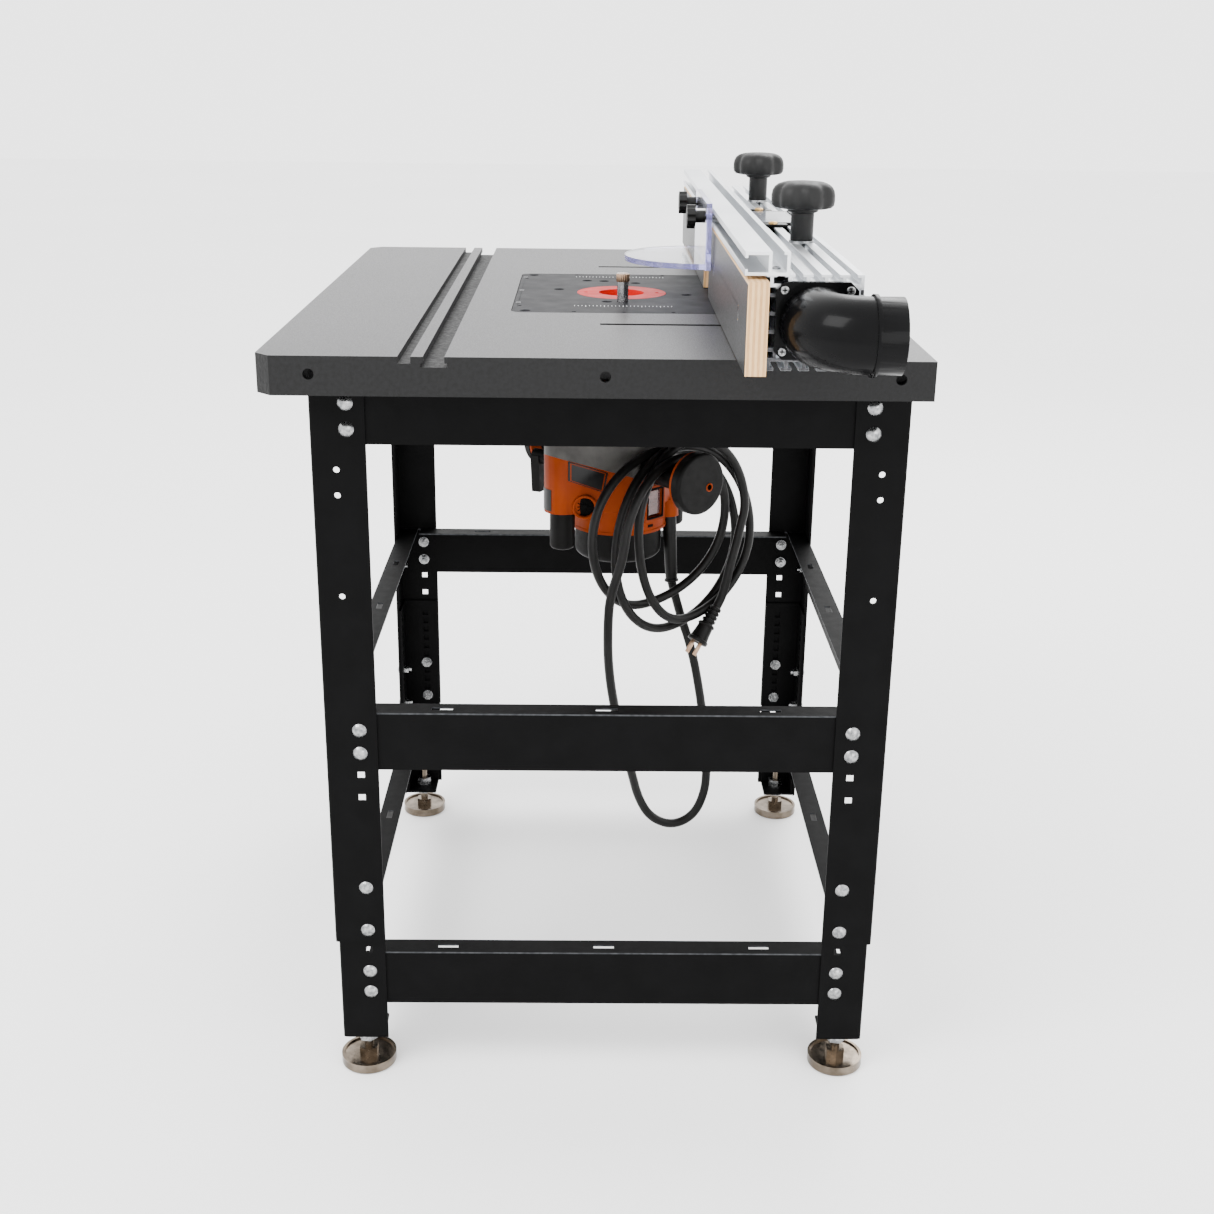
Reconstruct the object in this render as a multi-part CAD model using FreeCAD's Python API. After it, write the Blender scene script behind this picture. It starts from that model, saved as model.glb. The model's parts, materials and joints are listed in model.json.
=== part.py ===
import FreeCAD, Part
import math
import os
from FreeCAD import Rotation, Vector

# A floor-standing router table: a cast-iron top on a telescoping steel stand, a T-slotted
# fence with dust port and guard, and a plunge router hung under the insert plate.
# +X runs along the top towards its right-hand end, +Y towards the fence side, +Z up.
# While modelling, X = Y = 0 is the middle of the top and Z = 0 is the floor. Every part is
# moved by FRAME_SHIFT_X when it is written, which centres the whole object on the origin.

# ---- Table top ----
TABLE_LENGTH = 813.0
TABLE_WIDTH = 610.0
TABLE_HEIGHT = 804.0
SKIRT_HEIGHT = 36.0
SKIRT_WALL = 8.0
PLATE_THICKNESS = 14.0
FRONT_CORNER_CUT = 14.0
RIB_WALL = 6.0
RIB_RISE = 6.0
MITER_SLOT = {"y": -144.0, "width": 19.2, "depth": 9.5, "foot_width": 24.0, "foot_height": 3.5}
NARROW_SLOT = {"y": -170.4, "width": 11.6, "depth": 6.3, "foot_width": 11.6, "foot_height": 2.0}
SLOT_BED_Y = (-186.0, -126.0)
SLOT_BED_DROP = 6.0
FENCE_SLOT_X = 220.0
FENCE_SLOT_WIDTH = 9.0
FENCE_SLOT_Y = (5.0, 285.0)
END_HOLE_Y = (-256.0, 9.0, 274.0)
END_HOLE_DROP = 16.5
END_HOLE_RADIUS = 5.0

# ---- Insert plate ----
INSERT_LENGTH = 298.0
INSERT_WIDTH = 235.0
INSERT_THICKNESS = 9.5
INSERT_CORNER = 12.0
INSERT_GAP = 0.6
INSERT_LEDGE = 12.0
ROUTER_Y = 30.0
RING_RADIUS = 50.0
RING_LIP = 3.0
RING_LIP_HEIGHT = 4.0
RING_HOLE_RADIUS = 25.5
CORNER_SCREW = (137.0, 103.5)
BASE_SCREWS = ((-20.0, -71.0), (-93.0, -39.0), (-90.0, -19.0), (70.0, -17.0), (-76.0, 18.0), (14.0, 73.0))
LEVEL_SCREWS_ALONG = (-105.0, 105.0)
LEVEL_SCREWS_ACROSS = (-52.0, 0.0, 52.0)
LEVEL_SCREW_INSET = 7.0
STARTER_PIN_X = 72.0
STARTER_PIN_RADIUS = 6.2
STARTER_PIN_HEIGHT = 31.0
STARTER_COLLAR_HEIGHT = 8.5
STARTER_THREAD_RADIUS = 4.0

# ---- Stand ----
STAND_HALF_X = 329.0
STAND_HALF_Y = 286.5
STAND_Y = 15.0
LEG_FLANGE = 53.0
STEEL = 2.5
LEG_GAP = 0.5
LOWER_FLANGE = 49.0
UPPER_LEG_Z = (TABLE_HEIGHT - 643.0, TABLE_HEIGHT - SKIRT_HEIGHT)
LOWER_LEG_Z = (TABLE_HEIGHT - 768.0, TABLE_HEIGHT - 484.0)
LEG_FOOT_CUT = 6.0
BEND_RADIUS = 3.0
RAIL_HEIGHT = 63.5
RAIL_FLANGE = 25.0
RAIL_STEEL = 2.0
APRON_TOP = TABLE_HEIGHT - SKIRT_HEIGHT
MID_RAIL_TOP = TABLE_HEIGHT - 378.0
LOW_RAIL_TOP = TABLE_HEIGHT - 658.0
RAIL_SLOT_SPACING = 168.0
RAIL_SLOT_SIZE = (22.0, 7.0)
BOLT_INSET = 35.0
HOLE_PITCH = 25.4
APRON_BOLTS = (TABLE_HEIGHT - 59.0, TABLE_HEIGHT - 84.4)
MID_BOLTS = (TABLE_HEIGHT - 397.0, TABLE_HEIGHT - 422.4)
LOW_BOLTS = (TABLE_HEIGHT - 681.0, TABLE_HEIGHT - 706.4)
LOCK_BOLTS = (TABLE_HEIGHT - 577.9, TABLE_HEIGHT - 628.7)
SPARE_SQUARE_HOLES = (TABLE_HEIGHT - 446.8, TABLE_HEIGHT - 472.2)
ROUND_HOLES = (TABLE_HEIGHT - 124.3, TABLE_HEIGHT - 149.7, TABLE_HEIGHT - 253.0)
ROUND_HOLE_INSET = 24.0
ROUND_HOLE_RADIUS = 3.2
SQUARE_HOLE = 7.6
LOCK_STEP = 12.7
LOCK_STEPS = (-6, -4, -3, -2, -1, 0, 1, 2, 3, 4, 5, 6)
BOLT_RADIUS = 3.1
BOLT_HEAD_RADIUS = 7.6
BOLT_HEAD_HEIGHT = 3.6
WASHER_RADIUS = 7.2
WASHER_HEIGHT = 1.4
NUT_FLATS = 10.0
NUT_HEIGHT = 5.2
BOLT_TAIL = 4.0

# ---- Levelling feet ----
FOOT_INSET = (21.0, 27.5)
FOOT_RADIUS = 30.0
FOOT_HEIGHT = 11.0
FOOT_RIM = 2.0
FOOT_RIM_WIDTH = 3.0
FOOT_NUT_FLATS = 19.0
FOOT_NUT_HEIGHT = 9.0
STEM_RADIUS = 5.0
STEM_TOP = 80.0
STEM_CLEARANCE = 0.35
BRACKET_TOP = 41.0
BRACKET_STEEL = 3.0
BRACKET_REACH = 42.0
BRACKET_EAR = 22.0

# ---- Fence ----
FENCE_FACE_Y = 125.0
BOARD_THICKNESS = 18.5
BOARD_HEIGHT = 78.5
BOARD_LIFT = 1.0
BOARD_X = (37.5, 487.5)
BOARD_BOLT_X = (110.0, 406.0)
EXTRUSION_HALF = 457.0
FIN_PITCH = 15.4
FIN_HEAD = 9.0
FIN_HEAD_THICKNESS = 2.6
FIN_STEM = 3.2
FIN_HEIGHT = 8.0
FENCE_LIFT = 0.5
FENCE_HEIGHT = 82.0
FENCE_WALL = 3.0
TOP_FINS = 6
FRONT_FINS = 4
BACK_LIP = 9.0
HOOD_HALF = 66.0
TRACK_HALF = 470.0
TRACK_DEPTH = 38.0
TRACK_HEIGHT = 20.0
TRACK_WALL = 3.0
TRACK_LIP = 2.6
TRACK_OVERHANG = 1.5
TRACK_SCREW_X = (-440.0, -220.0, 60.0, 240.0, 445.0)
STUD_RADIUS = 3.9
KNOB_RADIUS = 31.5
KNOB_CAP_HEIGHT = 26.0
KNOB_STEM_RADIUS = 11.2
KNOB_STEM_HEIGHT = 30.0
KNOB_LOBES = 7
CLAMP_PLATE = (26.0, 44.0, 6.0)

# ---- Guard ----
GUARD_HALF = 92.0
GUARD_SHIELD_RADIUS = 84.0
GUARD_ACRYLIC = 6.0
GUARD_LOW = 37.0
GUARD_TOP = 107.0
GUARD_KNOB_X = 81.0
GUARD_KNOB_RADIUS = 12.5
GUARD_KNOB_CAP = 9.0
GUARD_KNOB_NECK = 11.0

# ---- Dust port ----
PORT_PLATE = (70.0, 66.0, 6.0)
PORT_PLATE_CUT = 7.0
PORT_PLATE_Z = TABLE_HEIGHT + 44.0
PORT_Z = TABLE_HEIGHT + 42.0
PORT_RADIUS = 31.75
PORT_WALL = 2.5
PORT_BEND = 40.0
PORT_NECK = 18.0
PORT_OUTLET_Y = 249.0
PORT_BEAD_Y = 224.0
PORT_BEAD = 2.0

# ---- Router ----
HANDLE_ANGLE = 39.0
MOTOR_RADIUS = 56.0
COLUMN_SPACING = 84.0
ARM_RADIUS = 21.0
COLUMN_RADIUS = 8.0
COLUMN_CLEARANCE = 0.35
BASE_RADIUS = 80.0
BASE_THICKNESS = 12.0
BASE_BOSS_RADIUS = 18.0
BASE_BOSS_HEIGHT = 40.0
BASE_BORE = 44.0
CASTING_TOP = TABLE_HEIGHT - 150.0
COLLAR_TOP = TABLE_HEIGHT - 120.0
COLLAR_RADIUS = 46.0
ARM_BOTTOM = TABLE_HEIGHT - 241.0
MOTOR_BOTTOM = TABLE_HEIGHT - 269.0
END_CAP_RADIUS = 51.0
END_CAP_HEIGHT = 38.0
SPLIT_MID = TABLE_HEIGHT - 209.5
SPLIT_SLOPE_DEG = 19.0
COLUMN_CAP_RADIUS = 14.5
COLUMN_CAP_HEIGHT = 45.0
COLUMN_CAP_WALL = 3.0
COLUMN_TAIL = TABLE_HEIGHT - 225.0
SPINDLE_RADIUS = 11.0
COLLET_TOP = TABLE_HEIGHT - 47.0
COLLET_NUT_FLATS = 30.0
COLLET_NUT_HEIGHT = 22.0
COLLET_BORE = 6.35
HANDLE_Z = TABLE_HEIGHT - 194.0
HANDLE_NECK_RADIUS = 15.0
HANDLE_NECK_END = 126.0
HANDLE_KNOB_RADIUS = 35.0
HANDLE_KNOB_LENGTH = 16.0
HANDLE_RING = 4.0
HANDLE_ROUNDING = 4.0
HANDLE_GAP = 0.5
LEVER_ANGLE = 243.6
LEVER_SHIFT = 20.0
LEVER_REACH = 45.0
LEVER_THICKNESS = 11.0
LEVER_HUB_RADIUS = 9.0
LEVER_Z = TABLE_HEIGHT - 197.0
LEVER_LENGTH = 42.0
SWITCH_ANGLE = 45.0
SWITCH_Z = TABLE_HEIGHT - 235.0
SWITCH_SIZE = (24.0, 34.0)

# ---- Cord ----
CORD_RADIUS = 5.3
RELIEF_TOP = Vector(-2.0, 90.5, TABLE_HEIGHT - 262.0)
RELIEF_TIP = Vector(5.0, 95.0, TABLE_HEIGHT - 342.0)
RELIEF_RADII = (8.5, 7.0)
CORD_DROP = (
    (5.0, 95.0, -342.0),
    (8.0, 104.0, -377.0),
    (12.0, 121.0, -425.0),
    (14.0, 132.0, -478.0),
    (18.0, 141.0, -538.0),
    (21.0, 144.0, -582.0),
    (26.0, 142.0, -612.0),
    (33.0, 129.0, -640.0),
    (42.0, 102.0, -650.0),
    (52.0, 74.0, -634.0),
    (62.0, 58.0, -602.0),
    (80.0, 48.5, -558.0),
    (101.0, 37.0, -508.0),
    (120.0, 25.5, -454.0),
    (129.0, 18.5, -402.0),
    (130.0, 17.5, -356.0),
    (128.0, 19.5, -320.0),
)
COIL_FROM = 62.0
COIL_TO = 95.5
COIL_CENTRE = (17.0, -274.0)
COIL_HALF = (123.0, 109.0)
COIL_EYE_CENTRE = (32.0, -272.0)
COIL_EYE_HALF = (60.0, 68.0)
TAIL_REACH = 100.0
CORD_TAIL = (
    (105.0, -270.0),
    (99.0, -292.0),
    (90.5, -316.0),
    (84.0, -339.0),
    (78.5, -354.5),
    (70.4, -364.6),
)
PLUG_LENGTHS = {"boot": 24.0, "body": 24.0, "prong": 17.0}
PLUG_RADII = {"boot": 7.0, "body": 11.0}
PLUG_PRONG = (1.5, 6.3, 12.7)

# ---- Derived values ----
TABLE_BOTTOM = TABLE_HEIGHT - SKIRT_HEIGHT
FENCE_BOTTOM = TABLE_HEIGHT + FENCE_LIFT
FENCE_TOP = FENCE_BOTTOM + FENCE_HEIGHT
BOARD_BOLT_Z = FENCE_BOTTOM + FENCE_HEIGHT / 2
EXTRUSION_FRONT = FENCE_FACE_Y + BOARD_THICKNESS
TOP_FIN_Y = [EXTRUSION_FRONT + FIN_HEAD / 2 + FIN_PITCH * i for i in range(TOP_FINS)]
FRONT_FIN_Z = [FENCE_BOTTOM + FENCE_HEIGHT / 2 + FIN_PITCH * (i - (FRONT_FINS - 1) / 2) for i in range(FRONT_FINS)]
EXTRUSION_BACK = TOP_FIN_Y[-1] + FIN_STEM / 2
STUD_Y = (TOP_FIN_Y[3] + TOP_FIN_Y[4]) / 2
TRACK_Y = (FENCE_FACE_Y - TRACK_OVERHANG, FENCE_FACE_Y - TRACK_OVERHANG + TRACK_DEPTH)
GUARD_BACK_Y = TRACK_Y[0] - 0.5
PORT_X = EXTRUSION_HALF + PORT_PLATE[2]
PORT_Y = (TOP_FIN_Y[0] + TOP_FIN_Y[-1]) / 2
OUTLET_X = PORT_X + PORT_NECK + PORT_BEND
FRAME_SHIFT_X = -((OUTLET_X + PORT_RADIUS + PORT_BEAD) - BOARD_X[1]) / 2
ACROSS = math.radians(HANDLE_ANGLE)
E1 = Vector(math.cos(ACROSS), math.sin(ACROSS), 0)
E2 = Vector(-math.sin(ACROSS), math.cos(ACROSS), 0)
UP = Vector(0, 0, 1)
X_AXIS = Vector(1, 0, 0)
Y_AXIS = Vector(0, 1, 0)
ROUTER_AXIS = Vector(0, ROUTER_Y, 0)
CORNERS = {
    "right_front": (1, -1),
    "right_rear": (1, 1),
    "left_front": (-1, -1),
    "left_rear": (-1, 1),
}


# ---- Shape helpers ----
def box(x, y, z):
    """A box from three (low, high) pairs."""
    lengths = [high - low for low, high in (x, y, z)]
    return Part.makeBox(*lengths, Vector(x[0], y[0], z[0]))


def rod(start, end, radius):
    """A cylinder between two points."""
    line = end - start
    return Part.makeCylinder(radius, line.Length, start, line)


def tube(start, end, outer, inner):
    """A hollow cylinder between two points."""
    return rod(start, end, outer).cut(rod(start, end, inner))


def fused(shapes):
    """One solid from touching or overlapping shapes."""
    return shapes[0].fuse(shapes[1:]).removeSplitter()


def less(shape, cutters):
    """A shape with every cutter taken away."""
    return shape.cut(Part.makeCompound(cutters)) if cutters else shape


def prism(points, direction):
    """A polygon pushed along a direction."""
    return Part.Face(Part.makePolygon(points + points[:1])).extrude(direction)


def rounded_prism(centre, size, corner, z):
    """An upright prism on a rounded rectangle."""
    half_x = size[0] / 2
    half_y = size[1] / 2
    block = box((centre[0] - half_x, centre[0] + half_x), (centre[1] - half_y, centre[1] + half_y), z)
    upright = [e for e in block.Edges if abs(e.tangentAt(e.FirstParameter).z) > 0.5]
    return block.makeFillet(corner, upright)


def hexagon(centre, axis, flats, height, turn=0.0):
    """A hexagonal prism standing on a point, along an axis."""
    radius = flats / math.sqrt(3)
    spin = Rotation(UP, axis)
    corners = []
    for step in range(6):
        angle = math.radians(60 * step + turn)
        corners.append(centre + spin.multVec(Vector(radius * math.cos(angle), radius * math.sin(angle), 0)))
    return prism(corners, axis * height)


def ellipse_disc(centre, half, axis_t, depth):
    """An elliptical disc in the (axis_t, Z) plane, pushed along depth."""
    major, minor = max(half), min(half)
    major_axis = axis_t if half[0] >= half[1] else UP
    flat = Part.Ellipse(centre + major_axis * major, centre + depth.cross(major_axis).normalize() * minor, centre)
    return Part.Face(Part.Wire(flat.toShape())).extrude(depth)


def hull_prism(centre_radius, end_radius, spacing, low, high):
    """A prism on three circles in a row along E2, with straight sides tangent to them."""
    sine = (centre_radius - end_radius) / spacing
    cosine = math.sqrt(1 - sine * sine)
    shapes = [rod(ROUTER_AXIS + UP * low, ROUTER_AXIS + UP * high, centre_radius)]
    for end in (-1, 1):
        middle = ROUTER_AXIS + E2 * (end * spacing)
        shapes.append(rod(middle + UP * low, middle + UP * high, end_radius))
        corners = []
        for side in (-1, 1):
            outward = E1 * (side * cosine) + E2 * (end * sine)
            pair = [ROUTER_AXIS + outward * centre_radius, middle + outward * end_radius]
            corners += pair if side < 0 else pair[::-1]
        shapes.append(prism([c + UP * low for c in corners], UP * (high - low)))
    return fused(shapes)


def bent_tube(points, radius):
    """A round cord along straight runs joined by tangent arcs, and the arcs' radii."""
    edges = []
    radii = []
    last = points[0]
    for before, corner, after in zip(points, points[1:], points[2:]):
        arriving = (corner - before).normalize()
        leaving = (after - corner).normalize()
        half_turn = arriving.getAngle(leaving) / 2
        trim = 0.45 * min((corner - before).Length, (after - corner).Length)
        start = corner - arriving * trim
        end = corner + leaving * trim
        toward = (leaving - arriving).normalize()
        bend = trim / math.tan(half_turn)
        centre = corner + toward * (bend / math.cos(half_turn))
        middle = centre - toward * bend
        edges.append(Part.LineSegment(last, start).toShape())
        edges.append(Part.Arc(start, middle, end).toShape())
        radii.append(bend)
        last = end
    edges.append(Part.LineSegment(last, points[-1]).toShape())
    path = Part.Wire(edges)
    section = Part.Wire(Part.Circle(points[0], points[1] - points[0], radius).toShape())
    solid = path.makePipeShell([section], True, True)
    ideal = math.pi * radius * radius * path.Length
    print("cord length %.0f, volume ratio %.4f, least bend %.1f" % (path.Length, solid.Volume / ideal, min(radii)))
    print("cord bends", [round(r) for r in radii])
    return solid


def save(node, shapes):
    """Write one node, centred on the object's own origin."""
    solids = []
    for shape in shapes if isinstance(shapes, list) else [shapes]:
        solids += shape.Solids
    whole = solids[0] if len(solids) == 1 else Part.makeCompound(solids)
    whole = whole.copy()
    whole.translate(Vector(FRAME_SHIFT_X, 0, 0))
    if not whole.isValid():
        print("not valid:", node)
    whole.exportStep(os.path.join("parts", node + ".step"))


# ---- Table top and insert ----
def slot_cutter(slot):
    """The T-shaped groove of a slot along the whole top."""
    ends = (-TABLE_LENGTH / 2 - 1, TABLE_LENGTH / 2 + 1)
    floor = TABLE_HEIGHT - slot["depth"]
    neck = box(ends, (slot["y"] - slot["width"] / 2, slot["y"] + slot["width"] / 2), (floor, TABLE_HEIGHT + 1))
    half_foot = slot["foot_width"] / 2
    foot = box(ends, (slot["y"] - half_foot, slot["y"] + half_foot), (floor, floor + slot["foot_height"]))
    return neck.fuse(foot)


def table_top():
    half_x = TABLE_LENGTH / 2
    half_y = TABLE_WIDTH / 2
    cut = FRONT_CORNER_CUT
    outline = [
        Vector(-half_x + cut, -half_y, TABLE_BOTTOM),
        Vector(half_x - cut, -half_y, TABLE_BOTTOM),
        Vector(half_x, -half_y + cut, TABLE_BOTTOM),
        Vector(half_x, half_y, TABLE_BOTTOM),
        Vector(-half_x, half_y, TABLE_BOTTOM),
        Vector(-half_x, -half_y + cut, TABLE_BOTTOM),
    ]
    body = prism(outline, UP * SKIRT_HEIGHT)
    under = TABLE_HEIGHT - PLATE_THICKNESS
    inner_x = half_x - SKIRT_WALL
    inner_y = half_y - SKIRT_WALL
    inner_cut = FRONT_CORNER_CUT
    hollow = [
        Vector(-inner_x + inner_cut, -inner_y, TABLE_BOTTOM),
        Vector(inner_x - inner_cut, -inner_y, TABLE_BOTTOM),
        Vector(inner_x, -inner_y + inner_cut, TABLE_BOTTOM),
        Vector(inner_x, inner_y, TABLE_BOTTOM),
        Vector(-inner_x, inner_y, TABLE_BOTTOM),
        Vector(-inner_x, -inner_y + inner_cut, TABLE_BOTTOM),
    ]
    body = body.cut(prism(hollow, UP * (under - TABLE_BOTTOM)))
    rib_z = (TABLE_BOTTOM + RIB_RISE, under)
    rest_z = (TABLE_BOTTOM, under)
    bed = box((-inner_x, inner_x), SLOT_BED_Y, (under - SLOT_BED_DROP, under))
    ribs = [bed]
    for side in (-1, 1):
        leg_x = side * (STAND_HALF_X - RAIL_FLANGE / 2)
        ribs.append(box((leg_x - RIB_WALL, leg_x + RIB_WALL), (-inner_y, inner_y), rest_z))
        frame_x = side * (INSERT_LENGTH / 2 + RIB_WALL)
        ribs.append(box((frame_x - RIB_WALL / 2, frame_x + RIB_WALL / 2), (-inner_y, inner_y), rib_z))
        frame_y = ROUTER_Y + side * (INSERT_WIDTH / 2 + RIB_WALL)
        span = INSERT_LENGTH / 2 + RIB_WALL
        ribs.append(box((-span, span), (frame_y - RIB_WALL / 2, frame_y + RIB_WALL / 2), rib_z))
    ribs.append(box((-inner_x, inner_x), (-STAND_HALF_Y + STAND_Y + 4, -STAND_HALF_Y + STAND_Y + 14), rest_z))
    body = fused([body] + ribs)
    rebate = rounded_prism(
        (0, ROUTER_Y),
        (INSERT_LENGTH + 2 * INSERT_GAP, INSERT_WIDTH + 2 * INSERT_GAP),
        INSERT_CORNER + INSERT_GAP,
        (TABLE_HEIGHT - INSERT_THICKNESS, TABLE_HEIGHT + 1),
    )
    opening = rounded_prism(
        (0, ROUTER_Y),
        (INSERT_LENGTH - 2 * INSERT_LEDGE, INSERT_WIDTH - 2 * INSERT_LEDGE),
        INSERT_CORNER,
        (TABLE_BOTTOM - 1, TABLE_HEIGHT),
    )
    cutters = [slot_cutter(MITER_SLOT), slot_cutter(NARROW_SLOT), rebate, opening]
    for side in (-1, 1):
        slot_x = side * FENCE_SLOT_X
        across = (slot_x - FENCE_SLOT_WIDTH / 2, slot_x + FENCE_SLOT_WIDTH / 2)
        cutters.append(box(across, FENCE_SLOT_Y, (under - 1, TABLE_HEIGHT + 1)))
        for hole_y in END_HOLE_Y:
            start = Vector(side * (inner_x - 1), hole_y, TABLE_HEIGHT - END_HOLE_DROP)
            end = Vector(side * (half_x + 1), hole_y, TABLE_HEIGHT - END_HOLE_DROP)
            cutters.append(rod(start, end, END_HOLE_RADIUS))
    return less(body, cutters)


def level_screw_points():
    """Centres of the levelling screws just inside the insert plate's rim."""
    edge_x = INSERT_LENGTH / 2 - LEVEL_SCREW_INSET
    edge_y = INSERT_WIDTH / 2 - LEVEL_SCREW_INSET
    points = [(side * edge_x, ROUTER_Y + y) for side in (-1, 1) for y in LEVEL_SCREWS_ACROSS]
    points += [(x, ROUTER_Y + side * edge_y) for side in (-1, 1) for x in LEVEL_SCREWS_ALONG]
    return points


def insert_plate():
    low = TABLE_HEIGHT - INSERT_THICKNESS
    plate = rounded_prism((0, ROUTER_Y), (INSERT_LENGTH, INSERT_WIDTH), INSERT_CORNER, (low, TABLE_HEIGHT))
    lip_floor = TABLE_HEIGHT - RING_LIP_HEIGHT
    bore_top = ROUTER_AXIS + UP * (TABLE_HEIGHT + 1)
    cutters = [
        rod(ROUTER_AXIS + UP * lip_floor, bore_top, RING_RADIUS + 0.3),
        rod(ROUTER_AXIS + UP * (low - 1), bore_top, RING_RADIUS - RING_LIP),
    ]
    pin = Vector(STARTER_PIN_X, ROUTER_Y, 0)
    cutters.append(rod(pin + UP * (low - 1), pin + UP * (TABLE_HEIGHT + 1), STARTER_THREAD_RADIUS + 0.3))
    screws = [(side_x * CORNER_SCREW[0], side_y * CORNER_SCREW[1]) for side_x in (-1, 1) for side_y in (-1, 1)]
    for x, y in list(BASE_SCREWS) + screws:
        at = Vector(x, ROUTER_Y + y, 0)
        cutters.append(rod(at + UP * (low - 1), at + UP * (TABLE_HEIGHT + 1), 3.2))
        cutters.append(Part.makeCone(3.2, 6.2, 3.2, at + UP * (TABLE_HEIGHT - 3.2), UP))
    for x, y in level_screw_points():
        at = Vector(x, y, 0)
        cutters.append(rod(at + UP * (low - 1), at + UP * (TABLE_HEIGHT + 1), 2.2))
    return less(plate, cutters)


def plate_screws():
    """The grub screws that level the insert plate on its ledge."""
    screws = []
    for x, y in level_screw_points():
        at = Vector(x, y, 0)
        body = rod(at + UP * (TABLE_HEIGHT - INSERT_THICKNESS), at + UP * (TABLE_HEIGHT - 1.0), 2.2)
        screws.append(body.cut(hexagon(at + UP * (TABLE_HEIGHT - 3.5), UP, 2.5, 3.0)))
    return screws


def insert_ring():
    lip_floor = TABLE_HEIGHT - RING_LIP_HEIGHT
    lip = tube(ROUTER_AXIS + UP * lip_floor, ROUTER_AXIS + UP * TABLE_HEIGHT, RING_RADIUS, RING_HOLE_RADIUS)
    low = TABLE_HEIGHT - INSERT_THICKNESS
    spigot_radius = RING_RADIUS - RING_LIP - 0.3
    spigot = tube(ROUTER_AXIS + UP * low, ROUTER_AXIS + UP * lip_floor, spigot_radius, RING_HOLE_RADIUS)
    key_holes = []
    for side in (-1, 1):
        at = ROUTER_AXIS + Y_AXIS * (side * 40.0)
        key_holes.append(rod(at + UP * (TABLE_HEIGHT - 3.0), at + UP * (TABLE_HEIGHT + 1), 2.4))
    return less(fused([lip, spigot]), key_holes)


def starter_pin():
    at = Vector(STARTER_PIN_X, ROUTER_Y, 0)
    top = TABLE_HEIGHT + STARTER_PIN_HEIGHT
    shank = rod(at + UP * (TABLE_HEIGHT + 0.2), at + UP * top, STARTER_PIN_RADIUS)
    thread = rod(at + UP * (TABLE_HEIGHT - INSERT_THICKNESS), at + UP * (TABLE_HEIGHT + 1), STARTER_THREAD_RADIUS)
    collar_low = top - STARTER_COLLAR_HEIGHT
    collar = rod(at + UP * collar_low, at + UP * (top - 0.8), STARTER_PIN_RADIUS + 0.5)
    recess = rod(at + UP * (top - 2.5), at + UP * (top + 1), 2.2)
    return less(fused([shank, thread, collar]), [recess])


# ---- Stand ----
def angle_section(sides, outer, flange, z, steel):
    """An L-section post, its bend at the outer corner, chamfered at the foot."""
    side_x, side_y = sides
    corner = Vector(side_x * outer[0], STAND_Y + side_y * outer[1], z[0])
    inward_x = X_AXIS * -side_x
    inward_y = Y_AXIS * -side_y
    points = [
        corner,
        corner + inward_x * flange,
        corner + inward_x * flange + inward_y * steel,
        corner + inward_x * steel + inward_y * steel,
        corner + inward_x * steel + inward_y * flange,
        corner + inward_y * flange,
    ]
    post = prism(points, UP * (z[1] - z[0]))
    bend = []
    for edge in post.Edges:
        middle = edge.valueAt((edge.FirstParameter + edge.LastParameter) / 2)
        if abs(middle.x - corner.x) < 0.01 and abs(middle.y - corner.y) < 0.01:
            bend.append(edge)
    return post.makeFillet(BEND_RADIUS, bend)


def face_points(sides, inset, half_x, half_y):
    """For one corner: on its end face and its side face, a point at that inset and the outward axis."""
    side_x, side_y = sides
    end_face = (Vector(side_x * half_x, STAND_Y + side_y * (STAND_HALF_Y - inset), 0), X_AXIS * side_x)
    side_face = (Vector(side_x * (STAND_HALF_X - inset), STAND_Y + side_y * half_y, 0), Y_AXIS * side_y)
    return end_face, side_face


def square_cutter(at, outward, size):
    """A square hole through a steel sheet whose outer face is at a point."""
    along = UP.cross(outward)
    start = at - outward * (STEEL + 2)
    corners = []
    for a, b in ((-1, -1), (1, -1), (1, 1), (-1, 1)):
        corners.append(start + along * (a * size / 2) + UP * (b * size / 2))
    return prism(corners, outward * (STEEL + 4))


def upper_leg(sides):
    leg = angle_section(sides, (STAND_HALF_X, STAND_HALF_Y), LEG_FLANGE, UPPER_LEG_Z, STEEL)
    cutters = []
    for at, outward in face_points(sides, BOLT_INSET, STAND_HALF_X, STAND_HALF_Y):
        for z in APRON_BOLTS + MID_BOLTS + LOCK_BOLTS + SPARE_SQUARE_HOLES:
            cutters.append(square_cutter(at + UP * z, outward, SQUARE_HOLE))
    for at, outward in face_points(sides, ROUND_HOLE_INSET, STAND_HALF_X, STAND_HALF_Y):
        for z in ROUND_HOLES:
            middle = at + UP * z
            cutters.append(rod(middle - outward * (STEEL + 2), middle + outward, ROUND_HOLE_RADIUS))
    return less(leg, cutters)


def lock_hole_heights():
    """Heights of the lower leg's holes, at every step the lock bolts can take."""
    return [LOCK_BOLTS[0] + LOCK_STEP * step for step in LOCK_STEPS]


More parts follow.
